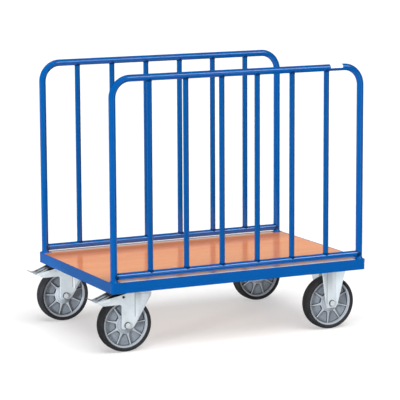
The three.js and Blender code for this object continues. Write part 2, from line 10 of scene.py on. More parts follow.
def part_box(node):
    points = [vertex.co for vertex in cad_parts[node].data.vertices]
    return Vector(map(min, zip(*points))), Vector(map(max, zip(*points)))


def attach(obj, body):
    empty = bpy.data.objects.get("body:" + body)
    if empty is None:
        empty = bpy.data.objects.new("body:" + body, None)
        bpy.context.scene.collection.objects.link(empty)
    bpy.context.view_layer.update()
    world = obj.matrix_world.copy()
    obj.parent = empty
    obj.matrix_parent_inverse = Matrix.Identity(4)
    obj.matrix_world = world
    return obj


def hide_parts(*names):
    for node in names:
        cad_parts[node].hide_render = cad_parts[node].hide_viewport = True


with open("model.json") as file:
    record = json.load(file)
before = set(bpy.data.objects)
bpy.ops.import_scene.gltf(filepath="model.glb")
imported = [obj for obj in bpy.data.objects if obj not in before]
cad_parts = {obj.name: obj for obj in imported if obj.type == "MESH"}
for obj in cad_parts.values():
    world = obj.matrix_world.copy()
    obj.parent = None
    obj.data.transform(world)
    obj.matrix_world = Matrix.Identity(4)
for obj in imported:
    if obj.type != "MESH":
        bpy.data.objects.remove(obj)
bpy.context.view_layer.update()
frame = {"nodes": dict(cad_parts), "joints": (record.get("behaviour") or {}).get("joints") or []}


# Platform frame: four lengths of rolled steel rim section, mitred at the corners, welded and ground smooth,
# then powder coated in gloss blue. The skirt hides the board's edge, and a ledge inside it carries the board.
MM = 0.001
CORNER_RADIUS = 10 * MM
SKIRT_THICKNESS = 3 * MM
LEDGE_WIDTH = 25 * MM
LEDGE_THICKNESS = 3 * MM
LEDGE_INSET = 1 * MM
BOARD_PLAY = 0.3 * MM
ROLLED_EDGE = 1.2 * MM
SAME_POINT = 0.002 * MM

frame_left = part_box("left_end_rail")[0].x
frame_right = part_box("right_end_rail")[1].x
frame_front, frame_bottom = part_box("front_side_rail")[0].yz
frame_rear, frame_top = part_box("rear_side_rail")[1].yz
frame_middle = (frame_left + frame_right) / 2
deck_low, deck_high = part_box("deck_board")


def srgb(red, green, blue):
    """A colour read as screen values from 0 to 255, as the linear colour that a shader takes."""
    shares = [value / 255 for value in (red, green, blue)]
    linear = [s / 12.92 if s <= 0.04045 else ((s + 0.055) / 1.055) ** 2.4 for s in shares]
    return (*linear, 1.0)


class Field:
    """A shader value over a surface: arithmetic adds Math nodes, and node() adds any other node."""

    def __init__(self, tree, socket):
        self.tree = tree
        self.socket = socket

    def node(self, kind, settings=None, sockets=None, output=0):
        made = self.tree.nodes.new("ShaderNode" + kind)
        for name, value in (settings or {}).items():
            setattr(made, name, value)
        for name, value in (sockets or {}).items():
            if isinstance(value, Field):
                self.tree.links.new(value.socket, made.inputs[name])
            else:
                made.inputs[name].default_value = value
        return Field(self.tree, made.outputs[output])

    def math(self, operation, first, second):
        return self.node("Math", {"operation": operation}, {0: first, 1: second})

    def __add__(self, other):
        return self.math("ADD", self, other)

    def __sub__(self, other):
        return self.math("SUBTRACT", self, other)

    def __rsub__(self, other):
        return self.math("SUBTRACT", other, self)

    def __mul__(self, other):
        return self.math("MULTIPLY", self, other)

    __radd__ = __add__

    def __abs__(self):
        return self.math("ABSOLUTE", self, 0.0)

    def axis(self, number):
        """This place along x, y or z, for 0, 1 or 2."""
        return self.node("SeparateXYZ", sockets={"Vector": self}, output=number)

    def noise(self, scale, detail=2.0, roughness=0.5):
        sockets = {"Vector": self, "Scale": scale, "Detail": detail, "Roughness": roughness}
        return self.node("TexNoise", sockets=sockets)

    def stretched(self, x, y, z):
        return self.node("Mapping", sockets={"Vector": self, "Scale": (x, y, z)})

    def between(self, low, high):
        """This value run from 0 at low to 1 at high, and held there."""
        return self.node("MapRange", sockets={"Value": self, "From Min": low, "From Max": high})

    def band(self, rise, fall):
        """1 between a rise and a fall, each from one value to another, and 0 outside."""
        return self.between(*rise) - self.between(*fall)

    def tint(self, first, second):
        """From the first colour where this value is 0 to the second where it is 1."""
        return self.node("Mix", {"data_type": "RGBA"}, {"Factor": self, 6: first, 7: second}, 2)

    def bump(self, distance, strength=1.0):
        return self.node("Bump", sockets={"Height": self, "Distance": distance, "Strength": strength})

    def feed(self, socket):
        self.tree.links.new(self.socket, self.tree.nodes["Principled BSDF"].inputs[socket])

    def grain(self, patches, spread, least, pores, depth, strength=0.3):
        """Roughness that drifts up from least in patches, and a fine bump as deep as depth."""
        (self.noise(patches) * spread + least).feed("Roughness")
        self.noise(pores).bump(depth, strength).feed("Normal")


def finish(name, **constants):
    """A new material with these constants on its shader, and its object coordinates as a Field."""
    made = bpy.data.materials.new(name)
    made.use_nodes = True
    shader = made.node_tree.nodes["Principled BSDF"]
    for socket, value in constants.items():
        shader.inputs[socket.replace("_", " ")].default_value = value
    place = made.node_tree.nodes.new("ShaderNodeTexCoord")
    return made, Field(made.node_tree, place.outputs["Object"])


# Powder coat flows into a faint orange peel, uneven in tone and gloss, with painted shade near joints
PAINT_BLUE = srgb(1, 81, 152)
PAINT_DEEP = srgb(0, 74, 143)
PAINT_JOINT_SHADE = srgb(0, 40, 86)
JOINT_SHADE_REACH = 3.5 * MM
JOINT_SHADE_CORE = 1 * MM
ORANGE_PEEL = 0.05 * MM


def powder_coat(name, axis=None, low=0.0, high=0.0, gloss=0.3, tones=(PAINT_DEEP, PAINT_BLUE)):
    """The cart's blue coat, with painted shade at joints at low and high along an axis, where one is given.
    """
    made, spot = finish(name, Coat_Weight=gloss, Coat_Roughness=0.06, IOR=1.5)
    tone = spot.noise(9, 3).tint(*tones)
    if axis is not None:
        # Painted shade: the coat is darkened towards the joints at low and high
        along = spot.axis(axis)
        near_low = along.between(low + JOINT_SHADE_REACH, low + JOINT_SHADE_CORE)
        near_high = along.between(high - JOINT_SHADE_REACH, high - JOINT_SHADE_CORE)
        tone = (near_low + near_high).tint(tone, PAINT_JOINT_SHADE)
    tone.feed("Base Color")
    spot.grain(60, 0.06, 0.1, 650, ORANGE_PEEL)
    return made


paint = powder_coat("blue_powder_coat")


def bevel(shape, geom, width, segments, affect="EDGES", **settings):
    bmesh.ops.bevel(shape, geom=geom, offset=width, segments=segments, affect=affect, profile=0.5,
                    material=-1, **settings)


def whole(shape):
    return [*shape.verts, *shape.edges, *shape.faces]


def outline(shape, corners, segments=5):
    """One flat face through corners, each a point and the radius that rounds it."""
    before = set(shape.faces)
    points = [shape.verts.new(point) for point, _ in corners]
    shape.faces.new(points)
    for radius in sorted({radius for _, radius in corners if radius}):
        rounded = [v for v, (_, r) in zip(points, corners) if r == radius]
        bevel(shape, rounded, radius, segments, "VERTICES")
    return [face for face in shape.faces if face not in before]


def thicken(shape, faces, reach):
    """Draws faces out along reach into a solid."""
    grown = bmesh.ops.extrude_face_region(shape, geom=faces)["geom"]
    bmesh.ops.translate(shape, vec=reach, verts=[g for g in grown if isinstance(g, bmesh.types.BMVert)])


def rectangle(low, high, z, radius=0.0):
    return [((x, y, z), radius) for x, y in
            ((low[0], low[1]), (high[0], low[1]), (high[0], high[1]), (low[0], high[1]))]


def frame_of_faces(shape, low, high, z, width, radius=0.0):
    """A flat rectangular ring of faces, as wide as width, inside low and high."""
    faces = outline(shape, rectangle(low, high, z, radius), segments=8)
    ring = bmesh.ops.inset_individual(shape, faces=faces, thickness=width, use_even_offset=True)
    bmesh.ops.delete(shape, geom=faces, context="FACES")
    return ring["faces"]


def soften(shape, width, segments=2, least=35):
    """Rounds the edges where faces meet at more than least degrees."""
    bmesh.ops.recalc_face_normals(shape, faces=shape.faces)
    sharp = [e for e in shape.edges if e.is_manifold and e.calc_face_angle() > math.radians(least)]
    bevel(shape, sharp, width, segments, clamp_overlap=True)


def piece(name, shape, material, body, slot, *nodes, crease=40):
    """Makes the mesh a piece of the cart that rides on a body and stands for nodes. The slot is not used."""
    bmesh.ops.remove_doubles(shape, verts=shape.verts, dist=SAME_POINT)
    bmesh.ops.recalc_face_normals(shape, faces=shape.faces)
    for face in shape.faces:
        face.smooth = True
    for edge in shape.edges:
        edge.smooth = edge.is_manifold and edge.calc_face_angle() < math.radians(crease)
    mesh = bpy.data.meshes.new(name)
    shape.to_mesh(mesh)
    shape.free()
    mesh.materials.append(material)
    made = bpy.data.objects.new(name, mesh)
    bpy.context.scene.collection.objects.link(made)
    made.modifiers.new("even_shading", "WEIGHTED_NORMAL").keep_sharp = True
    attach(made, body)
    if nodes:
        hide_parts(*nodes)
    return made


rim = bmesh.new()
rim_low = (frame_left, frame_front)
rim_high = (frame_right, frame_rear)
skirt = frame_of_faces(rim, rim_low, rim_high, frame_bottom, SKIRT_THICKNESS, CORNER_RADIUS)
thicken(rim, skirt, (0, 0, frame_top - frame_bottom))
soften(rim, ROLLED_EDGE)
ledge_low = [side + LEDGE_INSET for side in rim_low]
ledge_high = [side - LEDGE_INSET for side in rim_high]
ledge_bottom = deck_low.z - BOARD_PLAY - LEDGE_THICKNESS
ledge = frame_of_faces(rim, ledge_low, ledge_high, ledge_bottom, LEDGE_WIDTH, CORNER_RADIUS)
thicken(rim, ledge, (0, 0, LEDGE_THICKNESS))

# The solid that each length stands for, 1 if it runs along the cart or -1 across it, and its two corners
MITRES = {
    "front_frame_side": ("front_side_rail", 1, (-1, -1), (1, -1)),
    "rear_frame_side": ("rear_side_rail", 1, (-1, 1), (1, 1)),
    "left_frame_end": ("left_end_rail", -1, (-1, -1), (-1, 1)),
    "right_frame_end": ("right_end_rail", -1, (1, -1), (1, 1)),
}
for name, (node, run, *ends) in MITRES.items():
    length = rim.copy()
    for end_x, end_y in ends:
        corner = (frame_right if end_x > 0 else frame_left, frame_rear if end_y > 0 else frame_front, 0)
        cut = bmesh.ops.bisect_plane(length, geom=whole(length), plane_co=corner,
                                     plane_no=(run * end_x, -run * end_y, 0), clear_outer=True)
        bmesh.ops.holes_fill(length, edges=[g for g in cut["geom_cut"] if isinstance(g, bmesh.types.BMEdge)])
    piece(name, length, paint, "chassis", "blue_paint", node)
rim.free()


# Cross channels: two folded steel channels welded across the frame under the board, which carry the castors.
# They are left square and plain under the board, in the frame's own powder coat.
for node in ("swivel_cross_member", "fixed_cross_member"):
    frame["nodes"][node].data.materials.clear()
    frame["nodes"][node].data.materials.append(paint)


# Deck: one chipboard panel, dropped into the frame onto the ledge, its corners notched round the leg sockets.
# Plain backing paper below, and beech decor film above, with fine pores and rays along the cart and a soft
# gloss. The film is paler under the lower rails, and beside them it is darkened as painted shade and
# painted reflection of the rails.
DECK_EDGE = 0.8 * MM
BEECH_PALE = srgb(249, 157, 82)
BEECH_WARM = srgb(231, 132, 60)
BEECH_RAY = srgb(186, 92, 42)
# The film is paler in a margin under the lower rails
BEECH_UNDER_RAIL_PALE = srgb(240, 222, 226)
# Painted shade and painted reflection of the lower rails, darkening the film beside them
BEECH_RAIL_SHADE = srgb(104, 56, 32)
PALE_MARGIN_WIDTH = 24 * MM
PALE_MARGIN_FADE = 8 * MM
RAIL_SHADE_CORE = PALE_MARGIN_WIDTH + 60 * MM
RAIL_SHADE_REACH = PALE_MARGIN_WIDTH + 160 * MM
BACKING = srgb(212, 186, 168)
BACKING_DEPTH = 1 * MM
beech, spot = finish("beech_decor_film", IOR=1.4, Specular_IOR_Level=0.35)
figure = spot.stretched(0.9, 7, 7).noise(2.2, 5, 0.55)
streaks = spot.stretched(3, 90, 90).noise(3, 4, 0.6).between(0.35, 0.75)
rays = spot.stretched(60, 900, 900).noise(2, 2).between(0.62, 0.72)
wood = (figure * 0.65 + streaks * 0.35).between(0.25, 0.75).tint(BEECH_PALE, BEECH_WARM)
inward = deck_high.y - abs(spot.axis(1))
# Paler under the lower rails
pale_margin = inward.between(PALE_MARGIN_WIDTH + PALE_MARGIN_FADE, PALE_MARGIN_WIDTH)
# A band beside the rails darkened as painted shade and painted reflection of the rails
rail_shade = inward.between(RAIL_SHADE_REACH, RAIL_SHADE_CORE) - pale_margin
film = (rays * 0.45).tint(wood, BEECH_RAY)
film = (rail_shade * 0.32).tint(film, BEECH_RAIL_SHADE)
film = (pale_margin * 0.8).tint(film, BEECH_UNDER_RAIL_PALE)
on_face = spot.axis(2).between(deck_low.z + BACKING_DEPTH, deck_low.z + 2 * BACKING_DEPTH)
on_face.tint(BACKING, film).feed("Base Color")
(0.13 + streaks * 0.06).feed("Roughness")
(rays * -1.0 + streaks * 0.3).bump(0.05 * MM, 0.4).feed("Normal")

socket_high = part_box("front_left_socket")[1]
notch = socket_high.x - deck_low.x + BOARD_PLAY
board = bmesh.new()
middle = ((deck_low.x + deck_high.x) / 2, (deck_low.y + deck_high.y) / 2)
half = ((deck_high.x - deck_low.x) / 2, (deck_high.y - deck_low.y) / 2)
quarter = [(half[0] - notch, half[1]), (half[0] - notch, half[1] - notch), (half[0], half[1] - notch)]
corners = []
for turn_x, turn_y in ((1, 1), (1, -1), (-1, -1), (-1, 1)):
    run = quarter if turn_x == turn_y else quarter[::-1]
    corners += [((middle[0] + turn_x * x, middle[1] + turn_y * y, deck_low.z), 0.0) for x, y in run]
thicken(board, outline(board, corners), (0, 0, deck_high.z - deck_low.z))
soften(board, DECK_EDGE)
piece("beech_deck", board, beech, "chassis", "beech_board", "deck_board")


# Leg sockets: a steel block welded into each frame corner, with a raised seat that the hoop's leg stands on
# and a weld fillet drawn round the leg's foot. Painted with the frame.
SIDES = ("front", "rear")
TUBE_RADIUS = 12.5 * MM
SEAT_RADIUS = TUBE_RADIUS - 1 * MM
FILLET_WIDTH = 4 * MM
BLOCK_CORNER = 2 * MM
BLOCK_EDGE = 1 * MM
AXES = {"Y": Vector((0, 1, 0)), "Z": Vector((0, 0, 1))}


def lathe(shape, profile, centre, axis="Z", steps=48, segments=3):
    """Turns a closed outline of radius, height and corner radius once round an axis through centre."""
    about = AXES[axis]
    faces = outline(shape, [(Vector((r, 0, 0)) + about * h, radius) for r, h, radius in profile], segments)
    edges = list({edge for face in faces for edge in face.edges})
    loop = [e for e in edges if max(v.co.x for v in e.verts) > 1e-6]
    bmesh.ops.delete(shape, geom=faces, context="FACES_ONLY")
    before = set(shape.verts) - {v for e in edges for v in e.verts}
    bmesh.ops.spin(shape, geom=loop, cent=(0, 0, 0), axis=about, angle=math.tau, steps=steps, use_merge=True)
    bare = [e for e in edges if e.is_valid and not e.link_faces]
    bmesh.ops.delete(shape, geom=bare, context="EDGES")
    turned = [v for v in shape.verts if v not in before]
    bmesh.ops.remove_doubles(shape, verts=turned, dist=SAME_POINT)
    bmesh.ops.translate(shape, vec=centre, verts=[v for v in shape.verts if v not in before])


def hoop_line(side):
    """The foot of a hoop's left leg, and the top above its right leg, on the middle line of its tube."""
    low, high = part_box(f"{side}_hoop")
    y = (low.y + high.y) / 2
    return Vector((low.x + TUBE_RADIUS, y, low.z)), Vector((high.x - TUBE_RADIUS, y, high.z - TUBE_RADIUS))


for side in SIDES:
    foot, peak = hoop_line(side)
    for end, leg_x in (("left", foot.x), ("right", peak.x)):
        node = f"{side}_{end}_socket"
        low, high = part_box(node)
        socket = bmesh.new()
        block = outline(socket, rectangle(low, high, low.z, BLOCK_CORNER))
        thicken(socket, block, (0, 0, deck_high.z - low.z))
        soften(socket, BLOCK_EDGE)
        rise = high.z - deck_high.z
        fillet = [(SEAT_RADIUS, 0, 0), (TUBE_RADIUS + FILLET_WIDTH, 0, 0),
                  (TUBE_RADIUS + FILLET_WIDTH * 0.9, 0.9 * MM, 0.6 * MM),
                  (TUBE_RADIUS + FILLET_WIDTH * 0.3, rise * 0.5, 2.5 * MM),
                  (TUBE_RADIUS + 0.2 * MM, rise, 0.3 * MM), (SEAT_RADIUS, rise, 0)]
        lathe(socket, fillet, (leg_x, foot.y, deck_high.z))
        piece(f"{side}_{end}_leg_foot", socket, paint, "chassis", "blue_paint", node)


# Side hoops: a round steel tube bent twice into an upside down U, its legs stood on the sockets and welded.
# The bends keep the tube's full section. Painted before the board goes in.
BEND_RADIUS = 69 * MM
TUBE_SIDES = 40
BEND_STEPS = 20


def ring_of(grown):
    """The newest ring of edges among what an operator returned."""
    points = {g for g in grown if isinstance(g, bmesh.types.BMVert)}
    return [e for e in {e for v in points for e in v.link_edges} if set(e.verts) <= points]


def draw_on(shape, ring, reach):
    """Carries a ring of edges on by reach, and returns the ring at the far end."""
    grown = bmesh.ops.extrude_edge_only(shape, edges=ring)["geom"]
    points = [g for g in grown if isinstance(g, bmesh.types.BMVert)]
    bmesh.ops.translate(shape, vec=reach, verts=points)
    return ring_of(grown)


def bend_on(shape, ring, centre):
    """Carries a ring of edges a quarter turn round an axis along Y through centre."""
    points = list({v for e in ring for v in e.verts})
    turned = bmesh.ops.spin(shape, geom=points + ring, cent=centre, axis=(0, 1, 0), angle=math.pi / 2,
                            steps=BEND_STEPS)
    return ring_of(turned["geom_last"])


for side in SIDES:
    foot, peak = hoop_line(side)
    bend_start = peak.z - BEND_RADIUS
    hoop = bmesh.new()
    bmesh.ops.create_circle(hoop, segments=TUBE_SIDES, radius=TUBE_RADIUS, matrix=Matrix.Translation(foot))
    ring = draw_on(hoop, list(hoop.edges), (0, 0, bend_start - foot.z))
    ring = bend_on(hoop, ring, (foot.x + BEND_RADIUS, foot.y, bend_start))
    ring = draw_on(hoop, ring, (peak.x - foot.x - 2 * BEND_RADIUS, 0, 0))
    ring = bend_on(hoop, ring, (peak.x - BEND_RADIUS, foot.y, bend_start))
    draw_on(hoop, ring, (0, 0, foot.z - bend_start))
    bmesh.ops.holes_fill(hoop, edges=[e for e in hoop.edges if e.is_boundary])
    piece(f"{side}_side_hoop", hoop, paint, "chassis", "blue_paint", f"{side}_hoop")


# Lower rails and bars: straight lengths of steel tube, their ends coped to the tube that they meet and welded
# all round. Each end swells a little where the weld bead runs into it. Painted with the hoops.
BAR_RADIUS = 10 * MM
BAR_SIDES = 32
RAIL_GLOSS = 1.0
# The bars' blue is darker than the rest of the coat, as painted shade
BAR_SHADED_BLUE = srgb(1, 75, 140)
BAR_SHADED_DEEP = srgb(0, 68, 131)
BARS_PER_SIDE = 6
# Distance from the joint and growth of the radius there, along a weld bead
BEAD = ((0, 1.6 * MM), (0.9 * MM, 1.35 * MM), (1.9 * MM, 0.7 * MM), (3 * MM, 0.15 * MM), (4.2 * MM, 0))


def coped_tube(shape, radius, start, end, sides):
    """A tube from start to end, seated at both ends on a tube that crosses it there."""
    axis = (end - start).normalized()
    turn = axis.to_track_quat("Z", "Y").to_matrix().to_4x4()
    bmesh.ops.create_circle(shape, segments=sides, radius=radius, matrix=Matrix.Translation(start) @ turn)
    ring = list(shape.edges)
    stations = [(start, 1, *step) for step in BEAD] + [(end, -1, *step) for step in BEAD[::-1]]
    for number, (seat, inward, gap, growth) in enumerate(stations):
        if number:
            ring = draw_on(shape, ring, (0, 0, 0))
        for point in {v for e in ring for v in e.verts}:
            across = point.co - start
            across = (across - axis * across.dot(axis)).normalized() * (radius + growth)
            reach = math.sqrt(max(TUBE_RADIUS ** 2 - across.y ** 2, 0))
            point.co = seat + across + axis * inward * (reach + gap)
    bmesh.ops.holes_fill(shape, edges=[e for e in shape.edges if e.is_boundary])


foot, peak = hoop_line("front")
rail_paint = powder_coat("blue_coat_on_rails", 0, foot.x + TUBE_RADIUS, peak.x - TUBE_RADIUS, RAIL_GLOSS)
rail_low, rail_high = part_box("front_lower_rail")
rail_z = (rail_low.z + rail_high.z) / 2
shaded_bar_paint = powder_coat("shaded_blue_coat_on_bars", 2, rail_z + TUBE_RADIUS, peak.z - TUBE_RADIUS,
                        tones=(BAR_SHADED_DEEP, BAR_SHADED_BLUE))
for side in SIDES:
    foot, peak = hoop_line(side)
    left, right = Vector((foot.x, foot.y, rail_z)), Vector((peak.x, foot.y, rail_z))
    rail = bmesh.new()
    coped_tube(rail, TUBE_RADIUS, left, right, TUBE_SIDES)
    piece(f"{side}_foot_rail", rail, rail_paint, "chassis", "blue_paint", f"{side}_lower_rail")
    for number in range(1, BARS_PER_SIDE + 1):
        node = f"{side}_bar_{number}"
        bar_low, bar_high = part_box(node)
        x = (bar_low.x + bar_high.x) / 2
        bar = bmesh.new()
        coped_tube(bar, BAR_RADIUS, Vector((x, foot.y, rail_z)), Vector((x, foot.y, peak.z)), BAR_SIDES)
        piece(f"{side}_upright_{number}", bar, shaded_bar_paint, "chassis", "blue_paint", node)


# Label: a sticker of white film, left blank, wrapped over the front hoop's top tube near its right bend.
# It is stuck on over the finished paint.
LABEL_MIDDLE = frame_middle + 396.5 * MM
LABEL_LENGTH = 51 * MM
LABEL_TURN = (math.radians(-6), math.radians(84))
LABEL_LIFT = 0.2 * MM
LABEL_THICKNESS = 0.25 * MM
LABEL_WHITE = srgb(246, 247, 248)
LABEL_GREY = srgb(226, 228, 232)
sticker, spot = finish("white_label_film", Coat_Weight=0.3, Coat_Roughness=0.15)
spot.noise(40).tint(LABEL_GREY, LABEL_WHITE).feed("Base Color")
spot.grain(300, 0.1, 0.3, 500, 0.02 * MM)
peak = hoop_line("front")[1]
label = bmesh.new()
bmesh.ops.create_grid(label, x_segments=2, y_segments=12, size=0.5)
for point in label.verts:
    turn = LABEL_TURN[0] + (point.co.y + 0.5) * (LABEL_TURN[1] - LABEL_TURN[0])
    x = LABEL_MIDDLE + point.co.x * LABEL_LENGTH
    out = TUBE_RADIUS + LABEL_LIFT
    point.co = (x, peak.y - out * math.cos(turn), peak.z + out * math.sin(turn))
bmesh.ops.recalc_face_normals(label, faces=label.faces)
bmesh.ops.solidify(label, geom=list(label.faces), thickness=LABEL_THICKNESS)
piece("blank_label", label, sticker, "chassis", "blue_paint")


# Fixed castor housings: a press formed steel bracket, zinc plated, welded under a mounting plate. Each leg is
# a flat panel down to the axle with a flange folded out on both sides, widest at the plate.
SHEET = 3 * MM
PRESSED_EDGE = 0.6 * MM
PLATE_HALF_LENGTH = 55 * MM
PLATE_HALF_WIDTH = 52 * MM
PLATE_THICKNESS = 4 * MM
PLATE_CORNER = 8 * MM
WELD_OVERLAP = 0.5 * MM
LEG_HALF_WIDTH = 20 * MM
LEG_CORNER = 4.5 * MM
LEG_CORNER_STEPS = 6
# A leg's rows by height over its foot, and its columns out from the middle: to 1 on the panel, to 2 round the
# fold and to 3 on the flange
LEG_ROWS = [height * MM for height in (12, 20, 40, 60, 80, 100, 120, 136)]
LEG_COLUMNS = (0, 0.35, 0.7, 1.0, 1.25, 1.5, 1.75, 2.0, 2.34, 2.67, 3.0)
FLANGE_WIDTH = 33.5 * MM
FLANGE_FOOT = 6 * MM
FLANGE_FOOT_HEIGHT = 12 * MM
FLANGE_SHOULDER = 13 * MM
FLANGE_FLARE = math.radians(31)
FOLD_RADIUS = 5 * MM
FOLD_START = LEG_HALF_WIDTH - FOLD_RADIUS * math.tan(FLANGE_FLARE / 2)
FOLD_END = FOLD_START + FOLD_RADIUS * FLANGE_FLARE
CHEEK_INNER = 28 * MM
ZINC_PALE = srgb(213, 221, 225)
ZINC_BLUE = srgb(188, 199, 206)
ZINC_STAIN = srgb(196, 196, 186)
ZINC_PAINTED_SHADE = srgb(74, 79, 84)
# Painted shade and painted reflection: a dark line in a crease of the sheet, and a greyer band beside it,
# higher up
CREASE_SHADE_EDGES = ((-2.2 * MM, -1 * MM), (1 * MM, 2.2 * MM))
CREASE_SHADE_FOOT = (0, 6 * MM)
SHADE_BAND_EDGES = ((0, 4 * MM), (18 * MM, 28 * MM))
SHADE_BAND_FOOT = (40 * MM, 85 * MM)
HOUSING_CREASE_FOOT = 96 * MM


def zinc_plate(name, crease=None, foot=0.0):
    """The castors' bright plate, with painted shade in a crease at a place along the cart, if one is given.
    """
    made, spot = finish(name, Metallic=0.2, IOR=1.5)
    drift = spot.noise(16, 4, 0.6)
    stain = spot.noise(34, 3).between(0.58, 0.85)
    streak = spot.stretched(500, 500, 26).noise(1, 3)
    tone = (stain * 0.35).tint(drift.between(0.3, 0.7).tint(ZINC_PALE, ZINC_BLUE), ZINC_STAIN)
    if crease is not None:
        # Painted shade and painted reflection in and beside the crease
        along = spot.axis(0) - crease
        up = spot.axis(2) - foot
        line = along.band(*CREASE_SHADE_EDGES) * up.between(*CREASE_SHADE_FOOT)
        shade_band = along.band(*SHADE_BAND_EDGES) * up.between(*SHADE_BAND_FOOT)
        tone = (line * 0.6 + shade_band * 0.3).tint(tone, ZINC_PAINTED_SHADE)
    tone.feed("Base Color")
    (drift * 0.16 + streak * 0.1 + 0.26).feed("Roughness")
    streak.bump(0.03 * MM, 0.35).feed("Normal")
    return made


zinc = zinc_plate("bright_zinc_plate")


def bracket_line(reach):
    """Place across and outward on the bracket's leg, at a length along the sheet from its middle."""
    if reach <= FOLD_START:
        return reach, 0.0
    turn = min((reach - FOLD_START) / FOLD_RADIUS, FLANGE_FLARE)
    past = max(reach - FOLD_END, 0)
    return (FOLD_START + FOLD_RADIUS * math.sin(turn) + past * math.cos(FLANGE_FLARE),
            FOLD_RADIUS * (1 - math.cos(turn)) + past * math.sin(FLANGE_FLARE))


def bracket_leg(shape, centre, sign, bottom, top):
    """One leg of the housing: a grid of sheet, folded along its two fold lines and given its thickness."""
    before = set(shape.verts)
    turns = [math.pi / 2 * step / LEG_CORNER_STEPS for step in range(LEG_CORNER_STEPS + 1)]
    heights = [LEG_CORNER * (1 - math.cos(turn)) for turn in turns] + LEG_ROWS + [top - bottom]
    rows = len(heights) - 1
    count = len(LEG_COLUMNS) - 1
    made = bmesh.ops.create_grid(shape, x_segments=2 * count, y_segments=rows, size=0.5)["verts"]
    for point in made:
        column = round((point.co.x + 0.5) * 2 * count) - count
        height = heights[round((point.co.y + 0.5) * rows)]
        share = LEG_COLUMNS[abs(column)]
        if height <= LEG_CORNER:
            drop = LEG_CORNER - height
            width = LEG_HALF_WIDTH - LEG_CORNER + math.sqrt(max(LEG_CORNER ** 2 - drop ** 2, 0))
            reach = width * share / LEG_COLUMNS[-1]
        else:
            climb = top - bottom - FLANGE_SHOULDER - FLANGE_FOOT_HEIGHT
            grown = max(min((height - FLANGE_FOOT_HEIGHT) / climb, 1.0), 0.0)
            edge = LEG_HALF_WIDTH + FLANGE_FOOT + (FLANGE_WIDTH - FLANGE_FOOT) * grown
            lines = [0, FOLD_START, FOLD_END, edge]
            step = min(int(share), 2)
            reach = lines[step] + (lines[step + 1] - lines[step]) * (share - step)
        x, out = bracket_line(reach)
        point.co = (math.copysign(x, column) if column else 0, sign * (CHEEK_INNER + out), bottom + height)
    faces = list({f for v in made for f in v.link_faces})
    bmesh.ops.recalc_face_normals(shape, faces=faces)
    outward = sum(f.normal.y * sign for f in faces) > 0
    bmesh.ops.solidify(shape, geom=faces, thickness=-SHEET if outward else SHEET)
    bmesh.ops.translate(shape, vec=(centre.x, centre.y, 0), verts=[v for v in shape.verts if v not in before])


def mounting_plate(shape, centre, under):
    """The flat plate that bolts to a channel, from its lower face up."""
    low = (centre.x - PLATE_HALF_LENGTH, centre.y - PLATE_HALF_WIDTH)
    high = (centre.x + PLATE_HALF_LENGTH, centre.y + PLATE_HALF_WIDTH)
    plate = outline(shape, rectangle(low, high, under, PLATE_CORNER))
    thicken(shape, plate, (0, 0, PLATE_THICKNESS))


PLACES = {joint["name"]: Vector(joint["pos_m"]) for joint in frame["joints"]}
# The housings' plate, with painted shade along the left folds of its legs
left_fold = PLACES["front_fixed_wheel_spin"].x - LEG_HALF_WIDTH
housing_zinc = zinc_plate("folded_zinc_plate_painted_shade", left_fold, HOUSING_CREASE_FOOT)
for side in SIDES:
    node = f"{side}_fixed_bracket"
    low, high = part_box(node)
    centre = PLACES[f"{side}_fixed_wheel_spin"]
    under = high.z - PLATE_THICKNESS
    housing = bmesh.new()
    for face in (-1, 1):
        bracket_leg(housing, centre, face, low.z, under + WELD_OVERLAP)
    mounting_plate(housing, centre, under)
    soften(housing, PRESSED_EDGE, least=50)
    piece(f"{side}_fixed_housing", housing, housing_zinc, "chassis", "zinc_sheet", node)


# Swivel castor plates: the same mounting plate with the upper ball race pressed and welded under it.
# A zinc plated seal ring closes the race, and a riveted kingpin holds the fork.
RACE_RADIUS = 34 * MM
RACE_SINK = 1 * MM
SEAL_RADIUS = 32 * MM
SEAL_BORE = 9 * MM
KINGPIN_RADIUS = 7 * MM
KINGPIN_HEAD = 12 * MM
KINGPIN_HEAD_HEIGHT = 6 * MM
STEEL_LIGHT = srgb(216, 222, 226)
STEEL_DARK = srgb(190, 196, 201)
steel, spot = finish("plated_steel", Metallic=0.25)
spot.noise(120, 3).tint(STEEL_DARK, STEEL_LIGHT).feed("Base Color")
spot.grain(400, 0.15, 0.22, 900, 0.02 * MM)

